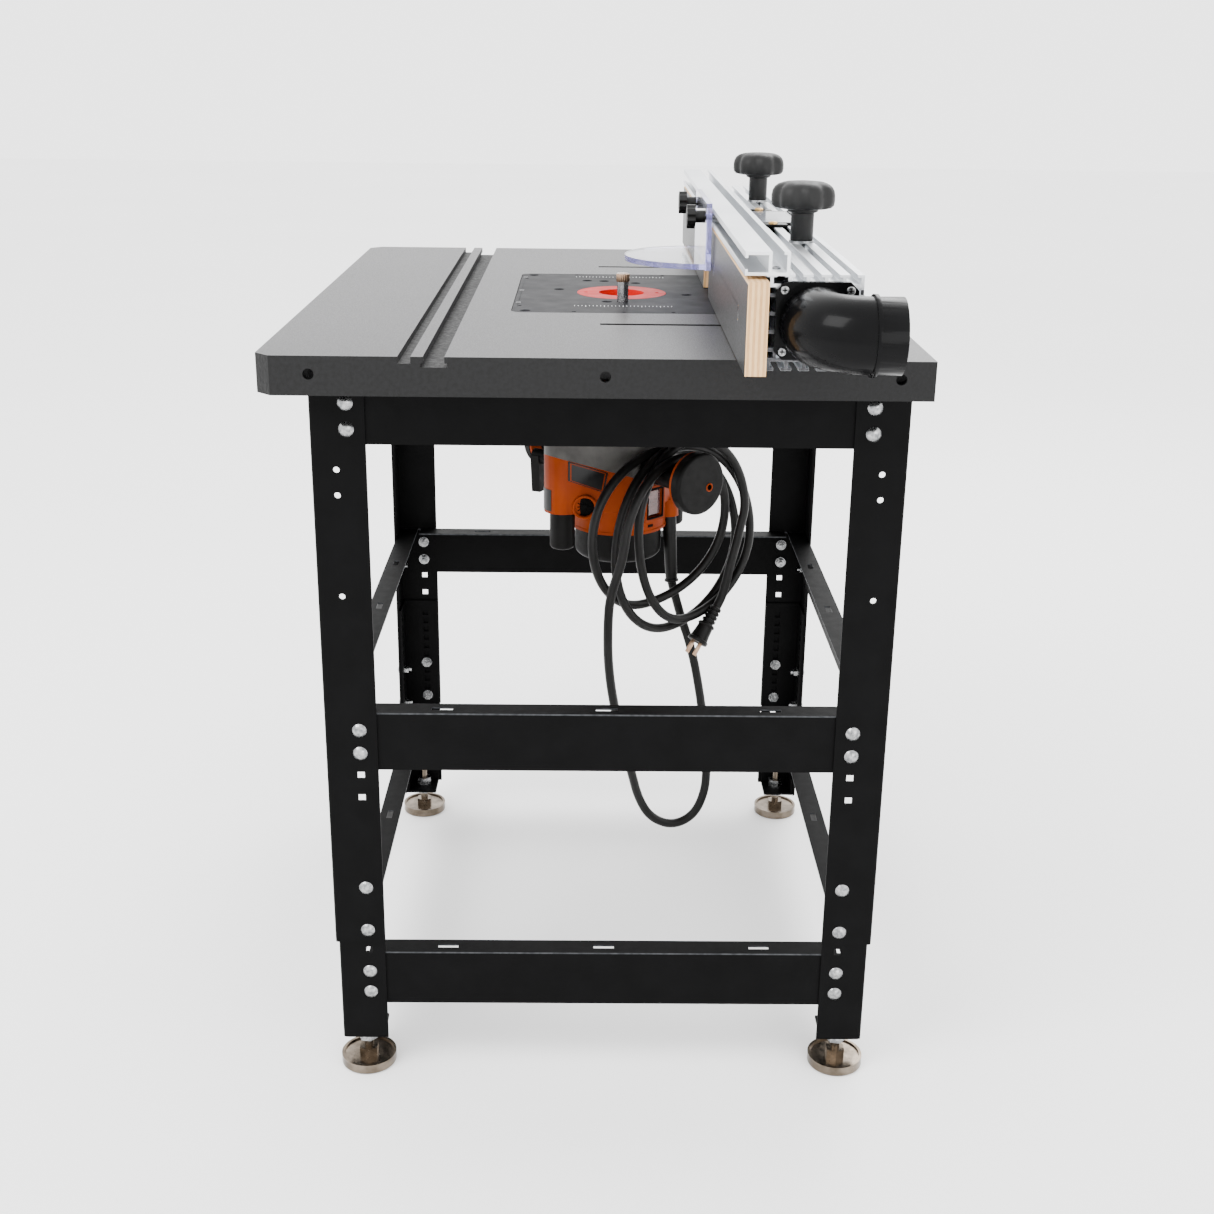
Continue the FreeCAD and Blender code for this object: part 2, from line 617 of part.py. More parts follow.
def lower_leg(sides):
    outer = (STAND_HALF_X - STEEL - LEG_GAP, STAND_HALF_Y - STEEL - LEG_GAP)
    leg = angle_section(sides, outer, LOWER_FLANGE, LOWER_LEG_Z, STEEL)
    cutters = []
    for at, outward in face_points(sides, BOLT_INSET, *outer):
        for z in list(LOW_BOLTS) + lock_hole_heights():
            cutters.append(square_cutter(at + UP * z, outward, SQUARE_HOLE))
    side_x, side_y = sides
    foot = Vector(side_x * outer[0], STAND_Y + side_y * outer[1], LOWER_LEG_Z[0])
    for inward, across in ((X_AXIS * -side_x, Y_AXIS), (Y_AXIS * -side_y, X_AXIS)):
        wedge = [foot - UP * 1 - inward * 1, foot + UP * LEG_FOOT_CUT - inward * 1, foot + inward * LEG_FOOT_CUT - UP * 1]
        cutters.append(prism([p - across * LEG_FLANGE for p in wedge], across * (2 * LEG_FLANGE)))
    return less(leg, cutters)


def rail(along_x, side, top, inset, bolts):
    """An angle rail between two corners: a web outside and a flange at its top, pointing inwards."""
    across_half = (STAND_HALF_Y if along_x else STAND_HALF_X) - inset
    length_half = (STAND_HALF_X if along_x else STAND_HALF_Y) - inset - RAIL_STEEL - 1.0
    web_half = length_half + (0.0 if along_x else 1.0)
    flange_half = length_half if along_x else length_half - RAIL_FLANGE - 1.0
    web_u = (-web_half, web_half)
    flange_u = (-flange_half, flange_half)
    web_v = tuple(sorted((side * across_half, side * (across_half - RAIL_STEEL))))
    flange_v = tuple(sorted((side * across_half, side * (across_half - RAIL_FLANGE))))
    low = top - RAIL_HEIGHT
    shapes = []
    for u, v, z in (
        (web_u, web_v, (low, top)),
        (flange_u, flange_v, (top - RAIL_STEEL, top)),
    ):
        shapes.append(placed(u, v, z, along_x))
    body = fused(shapes)
    cutters = []
    mid_v = side * (across_half - RAIL_FLANGE / 2)
    half_v = RAIL_SLOT_SIZE[1] / 2
    for step in (-1, 0, 1):
        mid_u = step * RAIL_SLOT_SPACING
        slot_u = (mid_u - RAIL_SLOT_SIZE[0] / 2, mid_u + RAIL_SLOT_SIZE[0] / 2)
        cutters.append(placed(slot_u, (mid_v - half_v, mid_v + half_v), (top - RAIL_STEEL - 1, top + 1), along_x))
    hole_u = (STAND_HALF_X if along_x else STAND_HALF_Y) - BOLT_INSET
    for end in (-1, 1):
        for z in bolts:
            if along_x:
                middle = Vector(end * hole_u, STAND_Y + side * across_half, z)
                outward = Y_AXIS * side
            else:
                middle = Vector(side * across_half, STAND_Y + end * hole_u, z)
                outward = X_AXIS * side
            cutters.append(rod(middle - outward * (RAIL_STEEL + 1), middle + outward, BOLT_RADIUS + 0.4))
    return less(body, cutters)


def placed(u, v, z, along_x):
    """A box whose long axis u runs along X or along Y, in the stand's own middle."""
    if along_x:
        return box(u, (STAND_Y + v[0], STAND_Y + v[1]), z)
    return box(v, (STAND_Y + u[0], STAND_Y + u[1]), z)


def carriage_bolt(at, outward, grip):
    """A domed bolt with its washer and nut, its head's underside at a point."""
    head = Part.makeSphere(BOLT_HEAD_RADIUS * 1.25, at - outward * (BOLT_HEAD_RADIUS * 1.25 - BOLT_HEAD_HEIGHT))
    head = head.common(rod(at, at + outward * (BOLT_HEAD_HEIGHT + 1), BOLT_HEAD_RADIUS))
    tail = at - outward * (grip + WASHER_HEIGHT + NUT_HEIGHT + BOLT_TAIL)
    shank = rod(tail, at + outward * 0.5, BOLT_RADIUS)
    washer = rod(at - outward * (grip + WASHER_HEIGHT), at - outward * grip, WASHER_RADIUS)
    nut = hexagon(at - outward * (grip + WASHER_HEIGHT), outward * -1, NUT_FLATS, NUT_HEIGHT, 30)
    return fused([head, shank, washer, nut])


def bolts_at(heights, half_x, half_y, grip):
    shapes = []
    for sides in CORNERS.values():
        for at, outward in face_points(sides, BOLT_INSET, half_x, half_y):
            shapes += [carriage_bolt(at + UP * z, outward, grip) for z in heights]
    return shapes


def foot_point(sides):
    side_x, side_y = sides
    return Vector(side_x * (STAND_HALF_X - FOOT_INSET[0]), STAND_Y + side_y * (STAND_HALF_Y - FOOT_INSET[1]), 0)


def levelling_foot(sides):
    at = foot_point(sides)
    disc = rod(at, at + UP * (FOOT_HEIGHT - FOOT_RIM), FOOT_RADIUS)
    disc = disc.makeFillet(1.5, [e for e in disc.Edges if e.Length > FOOT_RADIUS and e.BoundBox.ZMax < 1])
    rim = tube(at + UP * 2, at + UP * FOOT_HEIGHT, FOOT_RADIUS, FOOT_RADIUS - FOOT_RIM_WIDTH)
    stem = rod(at + UP * 2, at + UP * STEM_TOP, STEM_RADIUS)
    nut = hexagon(at + UP * (FOOT_HEIGHT - FOOT_RIM), UP, FOOT_NUT_FLATS, FOOT_NUT_HEIGHT)
    return fused([disc, rim, stem, nut])


def foot_nuts():
    """The jam nut under each foot bracket and the nut and washer above it."""
    nuts = []
    for sides in CORNERS.values():
        at = foot_point(sides)
        low = BRACKET_TOP - BRACKET_STEEL
        clear = rod(at, at + UP * STEM_TOP, STEM_RADIUS + STEM_CLEARANCE)
        below = hexagon(at + UP * (low - FOOT_NUT_HEIGHT), UP, FOOT_NUT_FLATS, FOOT_NUT_HEIGHT, 20)
        washer = rod(at + UP * BRACKET_TOP, at + UP * (BRACKET_TOP + 2), FOOT_NUT_FLATS / 2 + 1)
        above = hexagon(at + UP * (BRACKET_TOP + 2), UP, FOOT_NUT_FLATS, FOOT_NUT_HEIGHT, 10)
        nuts += [below.cut(clear), fused([washer, above]).cut(clear)]
    return nuts


def foot_brackets():
    """A bent bracket in each lower leg: a shelf for the foot's stem and two ears on the flanges."""
    shapes = []
    for side_x, side_y in CORNERS.values():
        leg_x = STAND_HALF_X - 2 * STEEL - LEG_GAP
        leg_y = STAND_HALF_Y - 2 * STEEL - LEG_GAP
        span_x = sorted((side_x * leg_x, side_x * (leg_x - BRACKET_REACH)))
        span_y = sorted((side_y * leg_y, side_y * (leg_y - BRACKET_REACH)))
        ear_x = sorted((side_x * leg_x, side_x * (leg_x - BRACKET_STEEL)))
        ear_y = sorted((side_y * leg_y, side_y * (leg_y - BRACKET_STEEL)))
        shelf_z = (BRACKET_TOP - BRACKET_STEEL, BRACKET_TOP)
        ear_z = (BRACKET_TOP - BRACKET_STEEL, BRACKET_TOP + BRACKET_EAR)
        shelf = box(span_x, [STAND_Y + y for y in span_y], shelf_z)
        ear_end = box(ear_x, [STAND_Y + y for y in span_y], ear_z)
        ear_side = box(span_x, [STAND_Y + y for y in ear_y], ear_z)
        at = foot_point((side_x, side_y))
        body = fused([shelf, ear_end, ear_side])
        shapes.append(body.cut(rod(at, at + UP * STEM_TOP, STEM_RADIUS + STEM_CLEARANCE)))
    return shapes


# ---- Fence ----
def fin(centre, root, outward):
    """A T-shaped fin of the extrusion: a stem from the wall and a wide head, in the YZ plane."""
    half = EXTRUSION_HALF
    if abs(outward.z) > 0.5:
        stem_z = sorted((root, root + outward.z * FIN_HEIGHT))
        head_z = sorted((root + outward.z * (FIN_HEIGHT - FIN_HEAD_THICKNESS), root + outward.z * FIN_HEIGHT))
        stem = box((-half, half), (centre - FIN_STEM / 2, centre + FIN_STEM / 2), stem_z)
        head = box((-half, half), (centre - FIN_HEAD / 2, centre + FIN_HEAD / 2), head_z)
        return [stem, head]
    stem_y = (root - FIN_HEIGHT, root)
    head_y = (root - FIN_HEIGHT, root - FIN_HEIGHT + FIN_HEAD_THICKNESS)
    stem = box((-half, half), stem_y, (centre - FIN_STEM / 2, centre + FIN_STEM / 2))
    head = box((-half, half), head_y, (centre - FIN_HEAD / 2, centre + FIN_HEAD / 2))
    return [stem, head]


def fence_extrusion():
    half = EXTRUSION_HALF
    top = FENCE_TOP - FIN_HEIGHT
    low = FENCE_BOTTOM + FIN_HEIGHT
    front = EXTRUSION_FRONT + FIN_HEIGHT
    back = EXTRUSION_BACK
    shapes = [
        box((-half, half), (front, back), (top - FENCE_WALL, top)),
        box((-half, half), (front, back), (low, low + FENCE_WALL)),
        box((-half, half), (front, front + FENCE_WALL), (low, top)),
        box((-half, half), (back - FENCE_WALL, back), (top - BACK_LIP, top)),
        box((-half, half), (back - FENCE_WALL, back), (low, low + BACK_LIP)),
        box((-half, half), (TOP_FIN_Y[0] - FIN_STEM / 2, front + 1), (top - FENCE_WALL, top)),
        box((-half, half), (TOP_FIN_Y[0] - FIN_STEM / 2, front + 1), (low, low + FENCE_WALL)),
    ]
    for y in TOP_FIN_Y:
        shapes += fin(y, top, UP)
        shapes += fin(y, low, UP * -1)
    for z in FRONT_FIN_Z:
        shapes += fin(z, front, Y_AXIS * -1)
    body = fused(shapes)
    cutters = [box((-half - 1, half + 1), (back, back + FIN_HEAD), (FENCE_BOTTOM - 1, FENCE_TOP + 1))]
    for side in (-1, 1):
        at = Vector(side * FENCE_SLOT_X, STUD_Y, 0)
        cutters.append(rod(at + UP * (FENCE_BOTTOM - 1), at + UP * (FENCE_TOP + 1), STUD_RADIUS + 0.4))
    hood = (-HOOD_HALF, HOOD_HALF)
    cutters.append(box(hood, (TRACK_Y[1] + 6, EXTRUSION_BACK + 1), (top - FENCE_WALL - 1, FENCE_TOP + 1)))
    mouth = BOARD_X[0] - 2
    cutters.append(box((-mouth, mouth), (EXTRUSION_FRONT - 1, EXTRUSION_BACK - 20), (FENCE_BOTTOM - 1, top - BACK_LIP)))
    return less(body, cutters)


def top_track():
    half = TRACK_HALF
    y0, y1 = TRACK_Y
    z0 = FENCE_TOP
    z1 = FENCE_TOP + TRACK_HEIGHT
    divider = y0 + TRACK_DEPTH * 0.52
    shapes = [
        box((-half, half), (y0, y1), (z0, z0 + TRACK_WALL)),
        box((-half, half), (y0, divider + TRACK_WALL), (z1 - TRACK_WALL, z1)),
        box((-half, half), (divider, divider + TRACK_WALL), (z0, z1)),
        box((-half, half), (y1 - TRACK_WALL, y1), (z0, z1)),
        box((-half, half), (y0, y0 + TRACK_LIP), (z1 - 5.5, z1)),
        box((-half, half), (y0, y0 + TRACK_LIP), (z0, z0 + 5.5)),
        box((-half, half), (y1 - 5.5, y1), (z1 - TRACK_LIP, z1)),
    ]
    body = fused(shapes)
    screw_y = (divider + y1) / 2
    holes = [rod(Vector(x, screw_y, z0 - 1), Vector(x, screw_y, z0 + TRACK_WALL + 1), 2.2) for x in TRACK_SCREW_X]
    return less(body, holes)


def pan_screw(at, outward, radius, length):
    """A pan-head screw, its head's underside at a point."""
    head = rod(at, at + outward * (radius * 0.7), radius * 1.9)
    rim = [e for e in head.Edges if (e.CenterOfMass - at).dot(outward) > radius * 0.5 and e.Length > radius * 3]
    head = head.makeFillet(radius * 0.45, rim)
    return fused([head, rod(at - outward * length, at + outward * 0.3, radius)])


def port_screw_points():
    half_y = PORT_PLATE[0] / 2 - 7.0
    half_z = PORT_PLATE[1] / 2 - 7.0
    points = []
    for side_y in (-1, 1):
        for side_z in (-1, 1):
            points.append(Vector(PORT_X, PORT_Y + side_y * half_y, PORT_PLATE_Z + side_z * half_z))
    return points


def fence_screws():
    """The track's screws, the dust port's four screws and the hood's two."""
    divider = TRACK_Y[0] + TRACK_DEPTH * 0.52
    screw_y = (divider + TRACK_Y[1]) / 2
    screws = [pan_screw(Vector(x, screw_y, FENCE_TOP + TRACK_WALL), UP, 2.1, TRACK_WALL) for x in TRACK_SCREW_X]
    for at in port_screw_points():
        screws.append(pan_screw(at, X_AXIS, 2.0, PORT_PLATE[2]))
    return screws


def dust_port():
    """The square flange and the right-angle elbow of the dust port, one moulding."""
    half_y = PORT_PLATE[0] / 2
    half_z = PORT_PLATE[1] / 2
    cut = PORT_PLATE_CUT
    outline = []
    for side_y, side_z, first in ((-1, -1, "z"), (1, -1, "y"), (1, 1, "z"), (-1, 1, "y")):
        by_y = Vector(EXTRUSION_HALF, PORT_Y + side_y * (half_y - cut), PORT_PLATE_Z + side_z * half_z)
        by_z = Vector(EXTRUSION_HALF, PORT_Y + side_y * half_y, PORT_PLATE_Z + side_z * (half_z - cut))
        outline += [by_z, by_y] if first == "z" else [by_y, by_z]
    plate = prism(outline, X_AXIS * PORT_PLATE[2])
    mouth = Vector(PORT_X, PORT_Y, PORT_Z)
    bend_start = mouth + X_AXIS * PORT_NECK
    hub = bend_start + Y_AXIS * PORT_BEND
    outlet = Vector(OUTLET_X, PORT_OUTLET_Y, PORT_Z)
    solids = []
    for radius in (PORT_RADIUS, PORT_RADIUS - PORT_WALL):
        ring = Part.Face(Part.Wire(Part.Circle(bend_start, X_AXIS, radius).toShape()))
        bend = ring.revolve(hub, UP, 90)
        neck = rod(Vector(EXTRUSION_HALF, PORT_Y, PORT_Z), bend_start, radius)
        straight = rod(Vector(OUTLET_X, hub.y, PORT_Z), outlet, radius)
        solids.append(fused([neck, bend, straight]))
    bead_at = Vector(OUTLET_X, PORT_BEAD_Y, PORT_Z)
    bead = rod(bead_at, bead_at + Y_AXIS * 3.5, PORT_RADIUS + PORT_BEAD)
    shell = fused([plate, solids[0], bead])
    cutters = [solids[1], rod(outlet - Y_AXIS * 1, outlet + Y_AXIS * 1, PORT_RADIUS - PORT_WALL)]
    cutters.append(rod(mouth - X_AXIS * (PORT_PLATE[2] + 1), mouth, PORT_RADIUS - PORT_WALL))
    for at in port_screw_points():
        cutters.append(rod(at - X_AXIS * (PORT_PLATE[2] + 1), at + X_AXIS * 1, 2.0))
    return less(shell, cutters)


def bit_hood():
    """The black hood over the fence's middle cut-out, open in front and below."""
    inner = HOOD_HALF - 0.3
    y0 = TRACK_Y[1] + 6.3
    y1 = EXTRUSION_BACK - 1.0
    low = FENCE_TOP - FIN_HEIGHT - FENCE_WALL
    high = FENCE_TOP + 3.0
    body = box((-inner, inner), (y0, y1), (low, high))
    hollow = box((-inner + 10, inner - 10), (y0 + 8, y1 - 8), (low - 1, high + 1))
    seat = box((-inner + 7, inner - 7), (y0 + 5, y1 - 5), (high - 2, high + 1))
    return less(body, [hollow, seat])


def hood_cover():
    """The clear cover let into the top of the hood."""
    inner = HOOD_HALF - 0.3 - 7
    y0 = TRACK_Y[1] + 6.3 + 5
    y1 = EXTRUSION_BACK - 1.0 - 5
    high = FENCE_TOP + 3.0
    return box((-inner, inner), (y0, y1), (high - 2, high))


def fence_clamps():
    """Studs, washers and the clamping plates under the top, one set per fence knob."""
    shapes = []
    for side in (-1, 1):
        at = Vector(side * FENCE_SLOT_X, STUD_Y, 0)
        under = TABLE_HEIGHT - PLATE_THICKNESS - 0.5
        plate = box(
            (at.x - CLAMP_PLATE[0] / 2, at.x + CLAMP_PLATE[0] / 2),
            (at.y - CLAMP_PLATE[1] / 2, at.y + CLAMP_PLATE[1] / 2),
            (under - CLAMP_PLATE[2], under),
        )
        stud = rod(at + UP * (under - 1), at + UP * (FENCE_TOP + 22), STUD_RADIUS)
        washer = rod(at + UP * (FENCE_TOP), at + UP * (FENCE_TOP + 2.0), KNOB_STEM_RADIUS + 1)
        shapes.append(fused([plate, stud, washer]))
    return shapes


def lobed_disc(at, axis, radius, height, lobes, rounding):
    """A knob's head: a disc with shallow scallops round its rim and a rounded edge."""
    disc = rod(at, at + axis * height, radius)
    spin = Rotation(UP, axis)
    scallops = []
    for step in range(lobes):
        angle = 2 * math.pi * step / lobes
        away = spin.multVec(Vector(math.cos(angle), math.sin(angle), 0))
        start = at + away * (radius * 1.30)
        scallops.append(rod(start - axis * 1, start + axis * (height + 1), radius * 0.42))
    body = less(disc, scallops)
    rims = [e for e in body.Edges if (e.CenterOfMass - at).dot(axis) > height * 0.98]
    return body.makeFillet(rounding, rims)


def fence_knob(side):
    at = Vector(side * FENCE_SLOT_X, STUD_Y, FENCE_TOP + 2.2)
    cap_low = at + UP * KNOB_STEM_HEIGHT
    stem = rod(at, cap_low + UP * 1, KNOB_STEM_RADIUS)
    collar = rod(cap_low - UP * 4, cap_low + UP * 1, KNOB_STEM_RADIUS + 4)
    cap = lobed_disc(cap_low, UP, KNOB_RADIUS, KNOB_CAP_HEIGHT, KNOB_LOBES, 6.0)
    bore = rod(at - UP * 1, at + UP * 24, STUD_RADIUS + 0.1)
    return less(fused([stem, collar, cap]), [bore])


def board(side):
    """One plywood fence face, bevelled at the bit, with its T-bolts' countersinks."""
    x0, x1 = BOARD_X
    y0 = FENCE_FACE_Y
    y1 = FENCE_FACE_Y + BOARD_THICKNESS - 0.3
    bevel = 9.0
    outline = [
        Vector(side * (x0 + bevel), y1, 0),
        Vector(side * x0, y1 - bevel, 0),
        Vector(side * x0, y0, 0),
        Vector(side * x1, y0, 0),
        Vector(side * x1, y1, 0),
    ]
    low = TABLE_HEIGHT + BOARD_LIFT
    body = prism([p + UP * low for p in outline], UP * BOARD_HEIGHT)
    ease = box((-x1 - 1, x1 + 1), (y0 - 1.5, y0 + 1.5), (low + BOARD_HEIGHT - 1.5, low + BOARD_HEIGHT + 1.5))
    ease.rotate(Vector(0, y0, low + BOARD_HEIGHT), X_AXIS, 45)
    cutters = [ease]
    for x in BOARD_BOLT_X:
        at = Vector(side * x, y0, BOARD_BOLT_Z)
        cutters.append(rod(at - Y_AXIS * 1, at + Y_AXIS * (BOARD_THICKNESS + 1), 3.4))
        cutters.append(Part.makeCone(7.0, 3.4, 3.6, at, Y_AXIS))
    return less(body, cutters)


def board_bolts(side):
    """Countersunk bolts through one fence face into T-nuts behind it."""
    shapes = []
    for x in BOARD_BOLT_X:
        at = Vector(side * x, FENCE_FACE_Y, BOARD_BOLT_Z)
        head = Part.makeCone(6.6, 3.1, 3.5, at + Y_AXIS * 0.3, Y_AXIS)
        shank = rod(at + Y_AXIS * 3, at + Y_AXIS * (BOARD_THICKNESS + 5.5), 3.0)
        nut_y = EXTRUSION_FRONT + FIN_HEAD_THICKNESS + 0.4
        gap = FIN_PITCH - FIN_STEM - 1.2
        nut = box((at.x - 7, at.x + 7), (nut_y, nut_y + 3.6), (at.z - gap / 2, at.z + gap / 2))
        slot = box((at.x - 5.5, at.x + 5.5), (at.y - 1, at.y + 1.2), (at.z - 0.7, at.z + 0.7))
        shapes.append(fused([head, shank, nut]).cut(slot))
    return shapes


def guard():
    """The clear guard: an upright plate with slots and a half-round shield over the bit."""
    low = TABLE_HEIGHT + GUARD_LOW
    high = TABLE_HEIGHT + GUARD_TOP
    y1 = GUARD_BACK_Y
    y0 = y1 - GUARD_ACRYLIC
    upright = box((-GUARD_HALF, GUARD_HALF), (y0, y1), (low, high))
    middle = Vector(0, y0, low)
    shield = rod(middle, middle + UP * GUARD_ACRYLIC, GUARD_SHIELD_RADIUS)
    shield = shield.common(box((-GUARD_HALF, GUARD_HALF), (y0 - GUARD_HALF, y0 + 1), (low, low + GUARD_ACRYLIC)))
    cutters = []
    for side in (-1, 1):
        at = Vector(side * GUARD_KNOB_X, y0, FENCE_TOP + TRACK_HEIGHT / 2)
        cutters.append(rod(at - Y_AXIS * 1, at + Y_AXIS * (GUARD_ACRYLIC + 1), 3.4))
    return less(fused([upright, shield]), cutters)


def guard_bolts():
    """The T-bolts that hold the guard in the track's front groove."""
    shapes = []
    for side in (-1, 1):
        at = Vector(side * GUARD_KNOB_X, GUARD_BACK_Y, FENCE_TOP + TRACK_HEIGHT / 2)
        shank = rod(at - Y_AXIS * (GUARD_ACRYLIC + 12), at + Y_AXIS * 6, 3.0)
        head_y = TRACK_Y[0] + TRACK_LIP + 0.4
        head = box((at.x - 6, at.x + 6), (head_y, head_y + 4), (at.z - 6, at.z + 6))
        shapes.append(fused([shank, head]))
    return shapes


def guard_knob(side):
    at = Vector(side * GUARD_KNOB_X, GUARD_BACK_Y - GUARD_ACRYLIC - 0.4, FENCE_TOP + TRACK_HEIGHT / 2)
    away = Y_AXIS * -1
    cap_at = at + away * GUARD_KNOB_NECK
    neck = rod(at, cap_at + away * 1, 6.5)
    cap = lobed_disc(cap_at, away, GUARD_KNOB_RADIUS, GUARD_KNOB_CAP, 6, 0.8)
    bore = rod(at - away * 1, at + away * 12.4, 3.05)
    return less(fused([neck, cap]), [bore])


# ---- Router ----
def column_bores(low, high, radius):
    return [rod(ROUTER_AXIS + E2 * (s * COLUMN_SPACING) + UP * low, ROUTER_AXIS + E2 * (s * COLUMN_SPACING) + UP * high, radius) for s in (-1, 1)]


def router_base():
    top = TABLE_HEIGHT - INSERT_THICKNESS
    body = hull_prism(BASE_RADIUS, BASE_BOSS_RADIUS + 4, COLUMN_SPACING, top - BASE_THICKNESS, top)
    bosses = column_bores(top - BASE_BOSS_HEIGHT, top - BASE_THICKNESS + 1, BASE_BOSS_RADIUS)
    bore = rod(ROUTER_AXIS + UP * (top - BASE_THICKNESS - 1), ROUTER_AXIS + UP * (top + 1), BASE_BORE)
    return less(fused([body] + bosses), [bore] + column_bores(top - 25, top + 1, 3.0))


def plunge_columns():
    top = TABLE_HEIGHT - INSERT_THICKNESS - BASE_BOSS_HEIGHT
    return column_bores(COLUMN_TAIL, top, COLUMN_RADIUS)


def split_block(above):
    """A large half-space block above or below the sloping joint of casting and housing."""
    reach = 400.0
    block = box((-reach, reach), (-reach, reach), (0, reach) if above else (-reach, 0))
    block.rotate(Vector(0, 0, 0), X_AXIS, -SPLIT_SLOPE_DEG)
    block.rotate(Vector(0, 0, 0), UP, HANDLE_ANGLE)
    block.translate(ROUTER_AXIS + UP * SPLIT_MID)
    return block


def motor_casting():
    """The light casting at the motor's upper end, with its collar and column arms."""
    block = hull_prism(MOTOR_RADIUS, ARM_RADIUS, COLUMN_SPACING, ARM_BOTTOM, CASTING_TOP)
    block = block.common(split_block(True))
    collar = rod(ROUTER_AXIS + UP * (CASTING_TOP - 1), ROUTER_AXIS + UP * COLLAR_TOP, COLLAR_RADIUS)
    bore = rod(ROUTER_AXIS + UP * (ARM_BOTTOM - 1), ROUTER_AXIS + UP * (COLLAR_TOP + 1), SPINDLE_RADIUS + 6)
    clear = COLUMN_RADIUS + COLUMN_CLEARANCE
    body = less(fused([block, collar]), [bore] + column_bores(ARM_BOTTOM - 1, CASTING_TOP + 1, clear))
    return less(body, [handle_neck_rod(side, 0.0) for side in (-1, 1)])


def handle_neck_rod(side, grow):
    start = ROUTER_AXIS + UP * HANDLE_Z + E1 * (side * 30.0)
    end = ROUTER_AXIS + UP * HANDLE_Z + E1 * (side * HANDLE_NECK_END)
    return rod(start, end, HANDLE_NECK_RADIUS + grow)


def switch_direction():
    angle = math.radians(SWITCH_ANGLE)
    return Vector(math.cos(angle), math.sin(angle), 0)


def switch_block(depth_from, depth_to, grow):
    """A block behind the switch opening, between two distances from the motor's axis."""
    out = switch_direction()
    along = UP.cross(out)
    half_w = SWITCH_SIZE[0] / 2 + grow
    half_h = SWITCH_SIZE[1] / 2 + grow
    middle = ROUTER_AXIS + UP * SWITCH_Z + out * depth_from
    corners = [middle + along * (a * half_w) + UP * (b * half_h) for a, b in ((-1, -1), (1, -1), (1, 1), (-1, 1))]
    return prism(corners, out * (depth_to - depth_from))


def motor_housing():
    """The coloured motor housing with its column arms, cord boss and switch frame."""
    arms = hull_prism(MOTOR_RADIUS, ARM_RADIUS, COLUMN_SPACING, ARM_BOTTOM, CASTING_TOP)
    arms = arms.common(split_block(False))
    drum = rod(ROUTER_AXIS + UP * MOTOR_BOTTOM, ROUTER_AXIS + UP * (ARM_BOTTOM + 1), MOTOR_RADIUS)
    relief_axis = (RELIEF_TIP - RELIEF_TOP).normalize()
    boss = rod(RELIEF_TOP - relief_axis * 22, RELIEF_TOP, RELIEF_RADII[0] + 2.5)
    frame = switch_block(40.0, MOTOR_RADIUS + 3.0, 4.0)
    body = fused([arms, drum, boss, frame]).common(split_block(False))
    cutters = column_bores(ARM_BOTTOM - 1, CASTING_TOP, COLUMN_RADIUS + COLUMN_CLEARANCE)
    cutters += [handle_neck_rod(side, 0.0) for side in (-1, 1)]
    cutters.append(switch_block(44.0, MOTOR_RADIUS + 8.0, 0.3))
    cutters.append(strain_relief())
    cutters.append(rod(ROUTER_AXIS + UP * (MOTOR_BOTTOM + 6), ROUTER_AXIS + UP * (ARM_BOTTOM + 200), SPINDLE_RADIUS + 6))
    return less(body, cutters)


def motor_end_cap():
    low = ROUTER_AXIS + UP * (MOTOR_BOTTOM - END_CAP_HEIGHT)
    cap = rod(low, ROUTER_AXIS + UP * MOTOR_BOTTOM, END_CAP_RADIUS)
    rim = [e for e in cap.Edges if e.BoundBox.ZMax < low.z + 1 and e.Length > END_CAP_RADIUS]
    return cap.makeFillet(9.0, rim)


def column_caps():
    """The two black caps that close the columns' bores under the arms."""
    shapes = []
    for side in (-1, 1):
        at = ROUTER_AXIS + E2 * (side * COLUMN_SPACING)
        low = ARM_BOTTOM - COLUMN_CAP_HEIGHT
        cap = rod(at + UP * low, at + UP * ARM_BOTTOM, COLUMN_CAP_RADIUS)
        rim = [e for e in cap.Edges if e.BoundBox.ZMax < low + 1 and e.Length > COLUMN_CAP_RADIUS]
        cap = cap.makeFillet(5.0, rim)
        shapes.append(cap.cut(rod(at + UP * (low + COLUMN_CAP_WALL), at + UP * (ARM_BOTTOM + 1), COLUMN_CAP_RADIUS - 4)))
    return shapes


def handle_necks():
    """The two fixed necks that carry the handles."""
    bore = rod(
        ROUTER_AXIS + UP * (ARM_BOTTOM - 1),
        ROUTER_AXIS + UP * COLLAR_TOP,
        SPINDLE_RADIUS + 6,
    )
    return [handle_neck_rod(side, 0.0).cut(bore) for side in (-1, 1)]


def handle_knob(side):
    """A round handle on the end of its neck, with a small hole off its centre."""
    start = HANDLE_NECK_END + (HANDLE_GAP if side > 0 else 0.0)
    away = E1 * side
    at = ROUTER_AXIS + UP * HANDLE_Z + away * start
    ring = rod(at, at + away * HANDLE_RING, HANDLE_KNOB_RADIUS - 1.5)
    cap_at = at + away * HANDLE_RING
    length = HANDLE_KNOB_LENGTH - HANDLE_RING
    cap = rod(cap_at, cap_at + away * length, HANDLE_KNOB_RADIUS)
    rim = [e for e in cap.Edges if (e.CenterOfMass - cap_at).dot(away) > length - 1]
    cap = cap.makeFillet(HANDLE_ROUNDING, rim)
    hole_at = cap_at + away * (length - 8) + E2 * 12 - UP * 5
    return less(fused([ring, cap]), [rod(hole_at, hole_at + away * 10, 3.2)])


def lever_frame():
    """The lever's pivot on the motor's flat flank, the way out of it and the way along it."""
    angle = math.radians(LEVER_ANGLE)
    out = Vector(math.cos(angle), math.sin(angle), 0)
    along = UP.cross(out)
    return ROUTER_AXIS + UP * LEVER_Z + out * (MOTOR_RADIUS + 0.6) + along * LEVER_SHIFT, out, along


